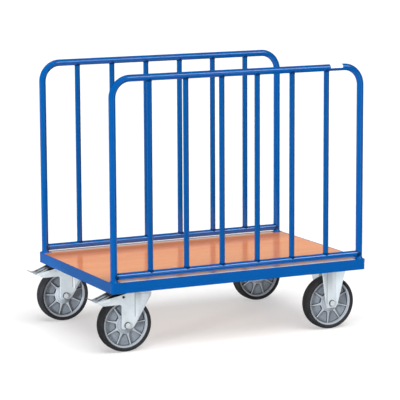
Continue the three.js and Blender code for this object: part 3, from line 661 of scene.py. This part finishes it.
for side in SIDES:
    centre = PLACES[f"{side}_swivel"]
    node = f"{side}_swivel_plate"
    low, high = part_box(node)
    top = bmesh.new()
    under = high.z - PLATE_THICKNESS
    mounting_plate(top, centre, under)
    soften(top, PRESSED_EDGE, least=50)
    race = [(KINGPIN_RADIUS, low.z, 0), (RACE_RADIUS - 4 * MM, low.z, 2 * MM),
            (RACE_RADIUS, low.z + 3 * MM, 1.5 * MM), (RACE_RADIUS, under + RACE_SINK, 0),
            (KINGPIN_RADIUS, under + RACE_SINK, 0)]
    lathe(top, race, (centre.x, centre.y, 0), steps=64)
    piece(f"{side}_race_plate", top, zinc, "chassis", "zinc_sheet", node)

    node = f"{side}_swivel_seal"
    low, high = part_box(node)
    seal = bmesh.new()
    section = [(SEAL_BORE, low.z, 0), (SEAL_RADIUS, low.z, 0.8 * MM),
               (SEAL_RADIUS, low.z + 4 * MM, 1.5 * MM), (SEAL_RADIUS - 4 * MM, high.z, 1 * MM),
               (SEAL_BORE, high.z, 0)]
    lathe(seal, section, (centre.x, centre.y, 0), steps=64)
    piece(f"{side}_seal_ring", seal, zinc, f"{side}_fork", "zinc_sheet", node)

    node = f"{side}_kingpin"
    low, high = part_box(node)
    pin = bmesh.new()
    neck = low.z + KINGPIN_HEAD_HEIGHT
    section = [(0, low.z, 0), (KINGPIN_HEAD - 4 * MM, low.z, 2 * MM), (KINGPIN_HEAD, low.z + 3 * MM, 1 * MM),
               (KINGPIN_HEAD, neck, 0.5 * MM), (KINGPIN_RADIUS, neck, 0), (KINGPIN_RADIUS, high.z, 0.5 * MM),
               (0, high.z, 0)]
    lathe(pin, section, (centre.x, centre.y, 0))
    piece(f"{side}_king_pin", pin, steel, f"{side}_fork", "plain_steel", node)


# Swivel forks: one steel pressing bent into a U, zinc plated. The crown turns under the race, each cheek runs
# back to the axle, and a long arm of each cheek reaches out beside the brake pedal. Its edges are rolled.
CHEEK_EDGE = 1.3 * MM
CHEEK_FACE = CHEEK_INNER + SHEET
CROWN_FRONT = -50 * MM
CROWN_BACK = 45 * MM
CROWN_SHEET = 3.6 * MM
CROWN_CORNER = 3 * MM
FORK_CREASE = -21 * MM
FORK_CREASE_FOOT = 126 * MM
SINK = 0.2 * MM
# The cheek's corners from the kingpin, along and up, and the radius of each, in millimetres
CHEEK = ((45, 216.6, 4), (-50, 216.6, 10), (-70, 212, 12), (-165, 194, 1.6), (-166.5, 190.5, 1.6),
         (-150, 178.3, 8), (-141, 177, 6), (-73, 177, 8), (-73, 86, 9), (-29, 86, 12), (43, 202.6, 5))
# Swellings pressed into each cheek, a bead along the arm and a panel at the back: the corners of each, their
# radius, and how far it stands out
SWELLINGS = ((((-155, 184.8), (-91, 196.8), (-92, 202.2), (-156, 190)), 2.4, 2.0),
             (((-20, 211), (35, 211), (36, 203), (-16, 124)), 3.5, 2.6))
# The forks' plate, with painted shade along a crease of each cheek
fork_zinc = zinc_plate("creased_zinc_plate_painted_shade", PLACES["front_swivel"].x + FORK_CREASE, FORK_CREASE_FOOT)


def press_out(shape, corners, radius, lift, face):
    """A low swelling on the outer face of a cheek."""
    skin = face * (CHEEK_FACE - SINK)
    faces = outline(shape, [((x * MM, skin, z * MM), radius * MM) for x, z in corners])
    thicken(shape, faces, (0, face * (lift * MM + SINK), 0))


for side in SIDES:
    centre = PLACES[f"{side}_swivel"]
    node = f"{side}_swivel_fork"
    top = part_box(node)[1].z
    fork = bmesh.new()
    for face in (-1, 1):
        cheek = [((x * MM, face * CHEEK_INNER, z * MM), radius * MM) for x, z, radius in CHEEK]
        thicken(fork, outline(fork, cheek), (0, face * SHEET, 0))
        for corners, radius, lift in SWELLINGS:
            press_out(fork, corners, radius, lift, face)
    crown = rectangle((CROWN_FRONT, SINK - CHEEK_FACE), (CROWN_BACK, CHEEK_FACE - SINK), top - CROWN_SHEET,
                      CROWN_CORNER)
    thicken(fork, outline(fork, crown), (0, 0, CROWN_SHEET))
    soften(fork, CHEEK_EDGE, segments=3, least=50)
    bmesh.ops.translate(fork, vec=(centre.x, centre.y, 0), verts=fork.verts)
    piece(f"{side}_fork_pressing", fork, fork_zinc, f"{side}_fork", "zinc_sheet", node)


# Axles: a plated M12 bolt through the cheeks and the wheel's bush, with a washer under its head and its nut.
# The flanks of both hexagons are darkened as painted shade.
HEAD_ACROSS = 19 * MM
HEAD_CHAMFER = 0.7 * MM
WASHER_RADIUS = 12.5 * MM
WASHER_THICKNESS = 1.8 * MM
WASHER_EDGE = 0.4 * MM
AXLE_RADIUS = 6 * MM
THREAD_END = 2 * MM
SHANK_SINK = 1 * MM
FLANK_SHADE = srgb(88, 93, 97)
FLANK_SHADE_EDGES = ((CHEEK_FACE + 0.5 * MM, CHEEK_FACE + 1.2 * MM), (CHEEK_FACE + 6.6 * MM, CHEEK_FACE + 7.2 * MM))


def off_castor(spot):
    """Distance across the cart from the middle of a castor."""
    return abs(abs(spot.axis(1)) - PLACES["rear_swivel"].y)


shaded_bolt_steel, spot = finish("bolt_steel_painted_shade", Metallic=0.25)
bare = spot.noise(120, 3).tint(STEEL_DARK, STEEL_LIGHT)
# Painted shade on the flanks of the hexagons
off_castor(spot).band(*FLANK_SHADE_EDGES).tint(bare, FLANK_SHADE).feed("Base Color")
spot.grain(400, 0.15, 0.22, 900, 0.02 * MM)


def hexagon(shape, centre, start, end, across, axis="Y"):
    """A hexagon bar between two heights on the axis, chamfered where it faces out."""
    before = set(shape.faces)
    turn = Matrix.Rotation(-math.pi / 2, 4, "X") if axis == "Y" else Matrix.Identity(4)
    place = Matrix.Translation(Vector(centre) + AXES[axis] * (start + end) / 2)
    bmesh.ops.create_cone(shape, cap_ends=True, segments=6, radius1=across / math.sqrt(3),
                          radius2=across / math.sqrt(3), depth=abs(end - start), matrix=place @ turn)
    made = [f for f in shape.faces if f not in before]
    edges = {e for f in made for e in f.edges}
    bevel(shape, list(edges), HEAD_CHAMFER, 2)


def washer(shape, centre, start, end, radius, bore, axis="Y"):
    ring = [(bore, start, 0), (radius, start, WASHER_EDGE), (radius, end, WASHER_EDGE), (bore, end, 0)]
    lathe(shape, ring, centre, axis, steps=32, segments=2)


for side in SIDES:
    for kind, body in (("fixed", "chassis"), ("swivel", f"{side}_fork")):
        node = f"{side}_{kind}_axle"
        low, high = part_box(node)
        centre = PLACES[f"{side}_{kind}_wheel_spin"]
        bolt = bmesh.new()
        near, far = low.y - centre.y, high.y - centre.y
        seat = CHEEK_FACE + WASHER_THICKNESS
        hexagon(bolt, centre, near, -seat, HEAD_ACROSS)
        hexagon(bolt, centre, seat, far - THREAD_END, HEAD_ACROSS)
        for start, end in ((-seat, -CHEEK_FACE), (CHEEK_FACE, seat)):
            washer(bolt, centre, start, end, WASHER_RADIUS, AXLE_RADIUS)
        shank = near + SHANK_SINK
        section = [(0, shank, 0), (AXLE_RADIUS, shank, 0), (AXLE_RADIUS, far, 1 * MM), (0, far, 0)]
        lathe(bolt, section, centre, "Y", steps=32)
        piece(f"{side}_{kind}_axle_bolt", bolt, shaded_bolt_steel, body, "plain_steel", node)


# Plate bolts: four plated M10 bolts through each castor plate into its channel, drawn up from below.
# Each shows its hexagon and a washer under the plate.
BOLT_ACROSS = 16 * MM
BOLT_HEIGHT = 7 * MM
BOLT_RADIUS = 5 * MM
BOLT_WASHER_RADIUS = 10 * MM
BOLT_WASHER = 1.6 * MM
# The joint at the middle of each plate, the solid with the plate, and how far out its bolts stand
BOLT_PLATES = {"fixed": ("fixed_wheel_spin", "fixed_bracket", (38 * MM, 14 * MM)),
               "swivel": ("swivel", "swivel_plate", (38 * MM, 40 * MM))}
for side in SIDES:
    for kind, (joint, plate, reach) in BOLT_PLATES.items():
        place = PLACES[f"{side}_{joint}"]
        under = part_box(f"{side}_{plate}")[1].z - PLATE_THICKNESS
        seat = under - BOLT_WASHER
        bolts = bmesh.new()
        for step_x in (-1, 1):
            for step_y in (-1, 1):
                hole = (place.x + step_x * reach[0], place.y + step_y * reach[1], 0)
                washer(bolts, hole, seat, under, BOLT_WASHER_RADIUS, BOLT_RADIUS, "Z")
                hexagon(bolts, hole, under - BOLT_HEIGHT, seat, BOLT_ACROSS, "Z")
        piece(f"{side}_{kind}_plate_bolts", bolts, steel, "chassis", "plain_steel")


# Wheels: a moulded grey polyamide rim with nine ribs from its hub to its lip on each face, on a steel bush,
# with a solid black rubber tyre pressed on. The tread has fine grooves round it.
RIB_COUNT = 9
# Degrees from +X at which each wheel has come to rest
RIB_TURN = {"front_fixed": 25, "rear_fixed": 10, "front_swivel": 5, "rear_swivel": 15}
RIB_HEIGHT = 13 * MM
RIM_RADIUS = 86 * MM
PANEL_GREY = srgb(140, 149, 159)
PANEL_DARK = srgb(112, 120, 130)
# Painted highlight on the ribs' tops and the lip, and painted shade on the ribs' flanks
RIB_HIGHLIGHT_GREY = srgb(164, 171, 178)
RIB_FLANK_SHADE = srgb(58, 63, 70)
# Distances from the wheel's middle between which the ribs' flanks, the ribs' tops and the lip fade in and
# out:
# painted shade on the flanks, and painted highlight on the tops and the lip
RIB_FLANK_SHADE_EDGES = ((5.4 * MM, 6.5 * MM), (10.4 * MM, 11.6 * MM))
RIB_HIGHLIGHT_EDGES = ((11.2 * MM, 12.6 * MM), (13.1 * MM, 14.5 * MM))
LIP_HIGHLIGHT_EDGES = ((17.6 * MM, 18.3 * MM), (18.7 * MM, 19.2 * MM))
moulded, spot = finish("grey_polyamide", IOR=1.52)
height = off_castor(spot)
mottle = spot.noise(26, 4, 0.6) * 0.5 + spot.noise(420) * 0.5
panel = mottle.between(0.35, 0.65).tint(PANEL_DARK, PANEL_GREY)
# Painted shade on the ribs' flanks
shaded = height.band(*RIB_FLANK_SHADE_EDGES).tint(panel, RIB_FLANK_SHADE)
# Painted highlight on the ribs' tops and the lip
rib_highlight = height.between(*RIB_HIGHLIGHT_EDGES[0]) - height.between(*RIB_HIGHLIGHT_EDGES[1]) * 0.75
lip_highlight = height.band(*LIP_HIGHLIGHT_EDGES) * 0.75
(rib_highlight + lip_highlight).tint(shaded, RIB_HIGHLIGHT_GREY).feed("Base Color")
spot.grain(220, 0.16, 0.38, 1400, 0.03 * MM, 0.4)

TYRE_BLACK = srgb(32, 33, 36)
TYRE_DUST = srgb(54, 55, 58)
rubber, spot = finish("black_rubber", IOR=1.5, Specular_IOR_Level=0.4)
dust = spot.noise(48, 5, 0.65).between(0.35, 0.8)
(dust * 0.7).tint(TYRE_BLACK, TYRE_DUST).feed("Base Color")
(dust * 0.2 + 0.52).feed("Roughness")
spot.noise(900, 3).bump(0.06 * MM, 0.4).feed("Normal")


def along_line(points, at):
    """The height at a place along a line of place and height points."""
    for (x0, y0), (x1, y1) in zip(points, points[1:]):
        if at <= x1:
            return y0 + (y1 - y0) * max(at - x0, 0) / (x1 - x0)
    return points[-1][1]


# Half width of the rim's face by radius, from the hub's bore to the lip, in millimetres
RIM_FACE = ((10.3, 26.5), (17.2, 26.5), (18.2, 25.9), (33, 14.6), (36, 11.2), (39.5, 5.8), (41.5, 5),
            (74.5, 5), (76.8, 6), (79.2, 16.6), (80.4, 18.2), (82, 18.5), (85, 18.5), (86, 17.8))
# Radii at which the face is divided, and half width of a rib by radius
RIM_STATIONS = (10.3, 17.2, 18.2, 24, 28, 31, 33, 34.5, 36, 37.8, 39.5, 41.5, 44, 48, 54, 60, 66, 71, 74.5,
                76.8, 78, 79.2, 80.4, 82, 85, 86)
RIB_HALF_WIDTH = ((30, 8.4), (36, 5.8), (42, 3.8), (50, 2.7), (60, 2.2), (81, 1.8))
# Across a rib from its middle out: share of the rib's height over the panel, and distance past its edge
RIB_SHAPE = ((1.0, -2.0), (1.0, -0.8), (0.93, -0.15), (0.7, 0.35), (0.25, 0.85), (0.06, 1.4), (0.0, 2.3))
RIB_SECTOR_LIMIT = 0.9
PANEL_STEPS = 4
MIRROR_SEAM = 0.001 * MM
RIB_SEAM = 0.01 * MM


def rim_mesh():
    """The ribbed rim about the Y axis, with a rib along +X."""
    shape = bmesh.new()
    across = len(RIB_SHAPE) + PANEL_STEPS
    last = len(RIM_STATIONS) - 1
    bmesh.ops.create_grid(shape, x_segments=last, y_segments=across, size=0.5)
    sector = math.pi / RIB_COUNT
    for point in shape.verts:
        radius = RIM_STATIONS[round((point.co.x + 0.5) * last)]
        column = round((point.co.y + 0.5) * across)
        base = along_line(RIM_FACE, radius)
        width = along_line(RIB_HALF_WIDTH, radius)
        foot = (width + RIB_SHAPE[-1][1]) / radius
        if column == 0:
            turn, share = 0.0, 1.0
        elif column <= len(RIB_SHAPE):
            share, past = RIB_SHAPE[column - 1]
            turn = min((width + past) / radius, sector * RIB_SECTOR_LIMIT)
        else:
            share = 0.0
            turn = foot + (sector - foot) * (column - len(RIB_SHAPE)) / PANEL_STEPS
        height = base + max(RIB_HEIGHT / MM - base, 0) * share
        point.co = (radius * MM * math.cos(turn), height * MM, radius * MM * math.sin(turn))
    bmesh.ops.mirror(shape, geom=whole(shape), axis="Z", merge_dist=MIRROR_SEAM)
    bmesh.ops.spin(shape, geom=whole(shape), cent=(0, 0, 0), axis=(0, 1, 0), use_duplicate=True,
                   angle=math.tau * (RIB_COUNT - 1) / RIB_COUNT, steps=RIB_COUNT - 1)
    bmesh.ops.remove_doubles(shape, verts=shape.verts, dist=RIB_SEAM)
    bmesh.ops.mirror(shape, geom=whole(shape), axis="Y", merge_dist=MIRROR_SEAM)
    for inner in (True, False):
        edge = [e for e in shape.edges if e.is_boundary
                and (e.verts[0].co.xz.length < RIM_RADIUS / 2) == inner]
        bmesh.ops.bridge_loops(shape, edges=edge)
    return shape


# Tyre section, as radius, width and corner radius in millimetres, for one half of its width
TYRE_HALF = ((86.2, 21, 0.6), (88, 23.4, 1), (90, 23.9, 1.2), (91.2, 24.9, 1), (96, 24.4, 3.5),
             (99.5, 18.2, 5), (99.8, 10.2, 0.5), (98.9, 9.6, 0.3), (98.9, 8.6, 0.3), (99.9, 8.0, 0.4),
             (100, 3.4, 0.5), (99.1, 2.9, 0.3), (99.1, 2.2, 0.3), (100, 1.7, 0.4))
BUSH_RADIUS = 10 * MM
BUSH_BORE = AXLE_RADIUS + 0.3 * MM

ribbed = rim_mesh()
for side in SIDES:
    for kind in ("fixed", "swivel"):
        wheel = f"{side}_{kind}"
        body = f"{wheel}_wheel"
        centre = PLACES[f"{wheel}_wheel_spin"]
        turned = ribbed.copy()
        turn = Matrix.Rotation(-math.radians(RIB_TURN[wheel]), 4, "Y")
        bmesh.ops.transform(turned, matrix=Matrix.Translation(centre) @ turn, verts=turned.verts)
        piece(f"{wheel}_wheel_rim", turned, moulded, body, "grey_rim", f"{wheel}_rim")

        tyre = bmesh.new()
        near = [(r * MM, w * MM, round_by * MM) for r, w, round_by in TYRE_HALF]
        far = [(r, -w, round_by) for r, w, round_by in near[::-1]]
        lathe(tyre, near + far, centre, "Y", steps=96, segments=2)
        piece(f"{wheel}_rubber_tyre", tyre, rubber, body, "black_tyre", f"{wheel}_tyre")

        bush_low, bush_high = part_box(f"{wheel}_bush")
        bush = bmesh.new()
        end = (bush_high.y - bush_low.y) / 2
        section = [(BUSH_BORE, end, 0.3 * MM), (BUSH_RADIUS, end, 0.5 * MM), (BUSH_RADIUS, -end, 0.5 * MM),
                   (BUSH_BORE, -end, 0.3 * MM)]
        lathe(bush, section, centre, "Y", steps=40)
        piece(f"{wheel}_axle_bush", bush, steel, body, "plain_steel", f"{wheel}_bush")
ribbed.free()


# Brake pedals: a pressed zinc plated strip, bent down from its pivot and up again at its toe, with black
# treads pushed into its two slots. A stem below it carries a black plastic shoe for the tyre, and a dark pin
# through the fork's cheeks holds it. Places are from the kingpin, along and up, in millimetres.
PEDAL_LINE = ((-68, 211), (-82, 216), (-100, 217), (-166, 192), (-185, 200.5))
PEDAL_HALF_WIDTH = 27.4 * MM
PEDAL_SHEET = 2.5 * MM
PEDAL_BEND = 7 * MM
PEDAL_EDGE = 0.5 * MM
PEDAL_EAR = ((-82, 216, 0), (-73, 197.5, 6), (-59.5, 197.5, 6), (-59.5, 208.5, 2), (-68, 211, 0))
SLOT = {"from": -157 * MM, "to": -122 * MM, "inner": 8 * MM, "outer": 20 * MM}
TREAD_DROP = 0.6 * MM
STEM_LOW = Vector((-98 * MM, -12 * MM, 204 * MM))
STEM_HIGH = Vector((-88 * MM, 12 * MM, 216 * MM))
STEM_CORNER = 2 * MM
# The shoe's corners about the wheel's axle, as radius in millimetres and degrees from +X
SHOE_ARC = ((105.5, 106), (114, 106), (114, 113), (114, 120), (105.5, 120), (105.5, 113))
SHOE_EDGE = 1.2 * MM
PIVOT = Vector((-66 * MM, 0, 204 * MM))
PIN_RADIUS = 3 * MM
PIN_HEAD = 5 * MM
PIN_DOME = 4.2 * MM
PIN_HEAD_HEIGHT = 2.2 * MM
SHOE_BLACK = srgb(26, 27, 29)
SHOE_GREY = srgb(46, 47, 50)
PEDAL_GREY = srgb(186, 192, 196)
# Painted shade where the pedal runs under the frame, and a darker toe
PEDAL_DARK = srgb(30, 31, 33)
DARK_WANDER = 12 * MM
FRAME_SHADE_EDGE = (frame_left - 2 * MM, frame_left + 12 * MM)
TOE_EDGE = (frame_left - 46 * MM, frame_left - 56 * MM)
pressing, spot = finish("pedal_zinc_with_painted_shade", Metallic=0.4, IOR=1.5)
along = spot.axis(0) + spot.noise(70, 3) * DARK_WANDER
# Painted shade where the pedal runs under the frame
frame_shade = along.between(*FRAME_SHADE_EDGE)
# Darker towards the toe
at_toe = along.between(*TOE_EDGE)
darker_at_toe = (at_toe * 0.55).tint(PEDAL_GREY, PEDAL_DARK)
(frame_shade * 0.9).tint(darker_at_toe, PEDAL_DARK).feed("Base Color")
(spot.noise(90, 3) * 0.2 + 0.28).feed("Roughness")
spot.stretched(500, 26, 500).noise(1, 3).bump(0.03 * MM, 0.35).feed("Normal")
plastic, spot = finish("black_moulded_plastic")
spot.noise(60, 3).tint(SHOE_BLACK, SHOE_GREY).feed("Base Color")
spot.grain(300, 0.2, 0.45, 1200, 0.04 * MM, 0.4)


def pedal_mesh(treads):
    """The pedal's line of bends drawn out across it: only what fills its slots, or all the rest."""
    shape = bmesh.new()
    line = [shape.verts.new((x * MM, -PEDAL_HALF_WIDTH, z * MM)) for x, z in PEDAL_LINE]
    for first, second in zip(line, line[1:]):
        shape.edges.new((first, second))
    bevel(shape, line[1:-1], PEDAL_BEND, 4, "VERTICES")
    rows = [-PEDAL_HALF_WIDTH, -SLOT["outer"], -SLOT["inner"], SLOT["inner"], SLOT["outer"], PEDAL_HALF_WIDTH]
    ring = list(shape.edges)
    for start, end in zip(rows, rows[1:]):
        ring = draw_on(shape, ring, (0, end - start, 0))
    for x in (SLOT["from"], SLOT["to"]):
        bmesh.ops.bisect_plane(shape, geom=whole(shape), plane_co=(x, 0, 0), plane_no=(1, 0, 0))
    left_out = []
    for face in shape.faces:
        place = face.calc_center_median()
        in_slot = SLOT["from"] < place.x < SLOT["to"] and SLOT["inner"] < abs(place.y) < SLOT["outer"]
        if in_slot != treads:
            left_out.append(face)
    bmesh.ops.delete(shape, geom=left_out, context="FACES")
    bmesh.ops.recalc_face_normals(shape, faces=shape.faces)
    upward = sum(f.normal.z for f in shape.faces) > 0
    lift = PEDAL_SHEET / 2 - (TREAD_DROP if treads else 0)
    bmesh.ops.translate(shape, vec=(0, 0, lift), verts=shape.verts)
    bmesh.ops.solidify(shape, geom=list(shape.faces), thickness=PEDAL_SHEET if upward else -PEDAL_SHEET)
    soften(shape, PEDAL_EDGE, least=50)
    return shape


for side in SIDES:
    centre = PLACES[f"{side}_swivel"]
    body = f"{side}_pedal"
    ground = Vector((centre.x, centre.y, 0))
    treads = pedal_mesh(True)
    bmesh.ops.translate(treads, vec=ground, verts=treads.verts)
    piece(f"{side}_pedal_treads", treads, plastic, body, "black_plastic")
    pedal = pedal_mesh(False)
    for face in (-1, 1):
        ear = [((x * MM, face * PEDAL_HALF_WIDTH, z * MM), radius * MM) for x, z, radius in PEDAL_EAR]
        thicken(pedal, outline(pedal, ear), (0, -face * PEDAL_SHEET, 0))
    stem = rectangle(STEM_LOW, STEM_HIGH, STEM_LOW.z, STEM_CORNER)
    thicken(pedal, outline(pedal, stem), (0, 0, STEM_HIGH.z - STEM_LOW.z))
    bmesh.ops.translate(pedal, vec=ground, verts=pedal.verts)
    piece(f"{side}_pedal_pressing", pedal, pressing, body, "zinc_sheet", f"{side}_brake_pedal")

    low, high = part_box(f"{side}_brake_shoe")
    axle = PLACES[f"{side}_swivel_wheel_spin"]
    shoe = bmesh.new()
    corners = []
    for radius, degrees in SHOE_ARC:
        turn = math.radians(degrees)
        x = axle.x + radius * MM * math.cos(turn)
        corners.append(((x, low.y, axle.z + radius * MM * math.sin(turn)), 0.0))
    thicken(shoe, outline(shoe, corners), (0, high.y - low.y, 0))
    soften(shoe, SHOE_EDGE, segments=3, least=50)
    piece(f"{side}_shoe_block", shoe, plastic, body, "black_plastic", f"{side}_brake_shoe")

    low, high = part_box(f"{side}_brake_pivot")
    pin = bmesh.new()
    reach = (high.y - low.y) / 2
    head = reach - PIN_HEAD_HEIGHT
    section = [(0, -reach, 0), (PIN_DOME, -reach, 1.4 * MM), (PIN_HEAD, -head, 0.3 * MM),
               (PIN_RADIUS, -head, 0), (PIN_RADIUS, head, 0), (PIN_HEAD, head, 0.3 * MM),
               (PIN_DOME, reach, 1.4 * MM), (0, reach, 0)]
    lathe(pin, section, ground + PIVOT, "Y", steps=32)
    piece(f"{side}_pedal_pin", pin, plastic, f"{side}_fork", "plain_steel", f"{side}_brake_pivot")


# Studio: a pale seamless floor that scatters light back up, soft light from the camera's side and from above,
# and softboxes that show only as reflections in the paint and the deck. A long lens.
FLOOR_REACH = 40
FLOOR_SCATTER = 0.44
FLOOR_WHITE = srgb(200, 199, 199)
FLOOR_PALE = srgb(197, 196, 196)
floor_paint, spot = finish("pale_floor", Roughness=0.9, Specular_IOR_Level=0.1,
                           Emission_Color=(1.0, 1.0, 1.0, 1.0), Emission_Strength=FLOOR_SCATTER)
spot.noise(0.7, 2).tint(FLOOR_WHITE, FLOOR_PALE).feed("Base Color")
ground = bmesh.new()
bmesh.ops.create_grid(ground, x_segments=1, y_segments=1, size=FLOOR_REACH)
floor_mesh = bpy.data.meshes.new("studio_floor")
ground.to_mesh(floor_mesh)
ground.free()
floor_mesh.materials.append(floor_paint)
floor = bpy.data.objects.new("studio_floor", floor_mesh)
bpy.context.scene.collection.objects.link(floor)
floor.visible_glossy = False

# The camera sees white air, and reflections see a dim room with only the softboxes in it
AIR_WHITE = 1.0
AIR_FILL = 0.22
AIR_MIRRORED = 0.01
world = bpy.data.worlds.new("studio_air")
world.use_nodes = True
air = world.node_tree
rays = air.nodes.new("ShaderNodeLightPath")
for ray, strength in ((None, AIR_FILL), ("Is Glossy Ray", AIR_MIRRORED), ("Is Camera Ray", AIR_WHITE)):
    shade = air.nodes.new("ShaderNodeBackground")
    shade.inputs["Strength"].default_value = strength
    shade.inputs["Color"].default_value = (1.0, 1.0, 1.0, 1.0)
    if ray:
        mix = air.nodes.new("ShaderNodeMixShader")
        air.links.new(rays.outputs[ray], mix.inputs["Fac"])
        air.links.new(chosen.outputs[0], mix.inputs[1])
        air.links.new(shade.outputs[0], mix.inputs[2])
    chosen = mix if ray else shade
air.links.new(chosen.outputs[0], air.nodes["World Output"].inputs["Surface"])
bpy.context.scene.world = world
bpy.context.scene.view_settings.view_transform = "Standard"

CART_MIDDLE = Vector((0, 0, 0.5))
# Suns that light and are not mirrored: place, strength and width in degrees
SUNS = {
    "top_sun": ((0.1, -2.3, 7), 2.75, 56),
    "key_sun": ((0.8, -5.2, 4.6), 0.35, 50),
    "left_sun": ((-5.6, -3.3, 1.0), 3.0, 6),
    "rear_sun": ((2.5, 5.5, 0.78), 1.5, 6),
}
# A narrow lamp for the castor that stands deepest under the frame: place, power and width in degrees
CASTOR_LAMP = ((-4.0, -0.5, 0.22), 760, 3.6)
CASTOR_AIM = PLACES["rear_swivel_wheel_spin"] + Vector((0, -0.02, 0.04))
# Softboxes that only reflections show: place, glow, width and height
SOFTBOXES = {
    "high_softbox": ((1.75, -2.9, 2.9), 5.5, 2.4, 1.2),
    "left_softbox": ((-3.6, 2.2, 0.0), 1.4, 0.9, 1.4),
    "right_softbox": ((1.2, -3.1, 0.35), 0.9, 0.7, 0.8),
    "low_right_softbox": ((3.6, -0.5, -0.7), 2, 1.6, 0.9),
    "rear_left_softbox": ((-2.6, 4.8, -0.3), 0.17, 2.4, 2.4),
    "rear_softbox": ((3.1, 6.3, 1.3), 0.58, 3.5, 2.6),
}


def lamp(name, kind, place, power, mirrored, target=CART_MIDDLE, **settings):
    """A light at place, turned towards a target, that only reflections show or that only lights."""
    data = bpy.data.lights.new(name, kind)
    data.energy = power
    for key, value in settings.items():
        setattr(data, key, value)
    made = bpy.data.objects.new(name, data)
    made.location = place
    made.rotation_euler = (Vector(target) - Vector(place)).to_track_quat("-Z", "Y").to_euler()
    made.visible_camera = False
    made.visible_glossy = mirrored
    made.visible_diffuse = not mirrored
    bpy.context.scene.collection.objects.link(made)


for name, (place, strength, width) in SUNS.items():
    lamp(name, "SUN", place, strength, False, angle=math.radians(width))
place, power, width = CASTOR_LAMP
lamp("castor_spot", "SPOT", place, power, False, CASTOR_AIM, spot_size=math.radians(width), spot_blend=0.3,
     shadow_soft_size=0.1)
for name, (place, glow, width, height) in SOFTBOXES.items():
    power = glow * math.pi * width * height
    lamp(name, "AREA", place, power, True, shape="RECTANGLE", size=width, size_y=height)

CAMERA_PLACE = Vector((frame_middle - 3.37556, -6.98466, 1.72309))
CAMERA_AZIMUTH = math.radians(-25.787)
CAMERA_ELEVATION = math.radians(9.138)
CAMERA_ROLL = math.radians(-0.276)
CAMERA_LENS = 186.71
CAMERA_SENSOR = 36
lens = bpy.data.cameras.new("studio_camera")
lens.sensor_width = CAMERA_SENSOR
lens.lens = CAMERA_LENS
camera = bpy.data.objects.new("studio_camera", lens)
back = Vector((math.sin(CAMERA_AZIMUTH) * math.cos(CAMERA_ELEVATION),
               -math.cos(CAMERA_AZIMUTH) * math.cos(CAMERA_ELEVATION), math.sin(CAMERA_ELEVATION)))
level = (-back).to_track_quat("-Z", "Y").to_matrix().to_4x4()
camera.matrix_world = Matrix.Translation(CAMERA_PLACE) @ level @ Matrix.Rotation(CAMERA_ROLL, 4, "Z")
bpy.context.scene.collection.objects.link(camera)
bpy.context.scene.camera = camera
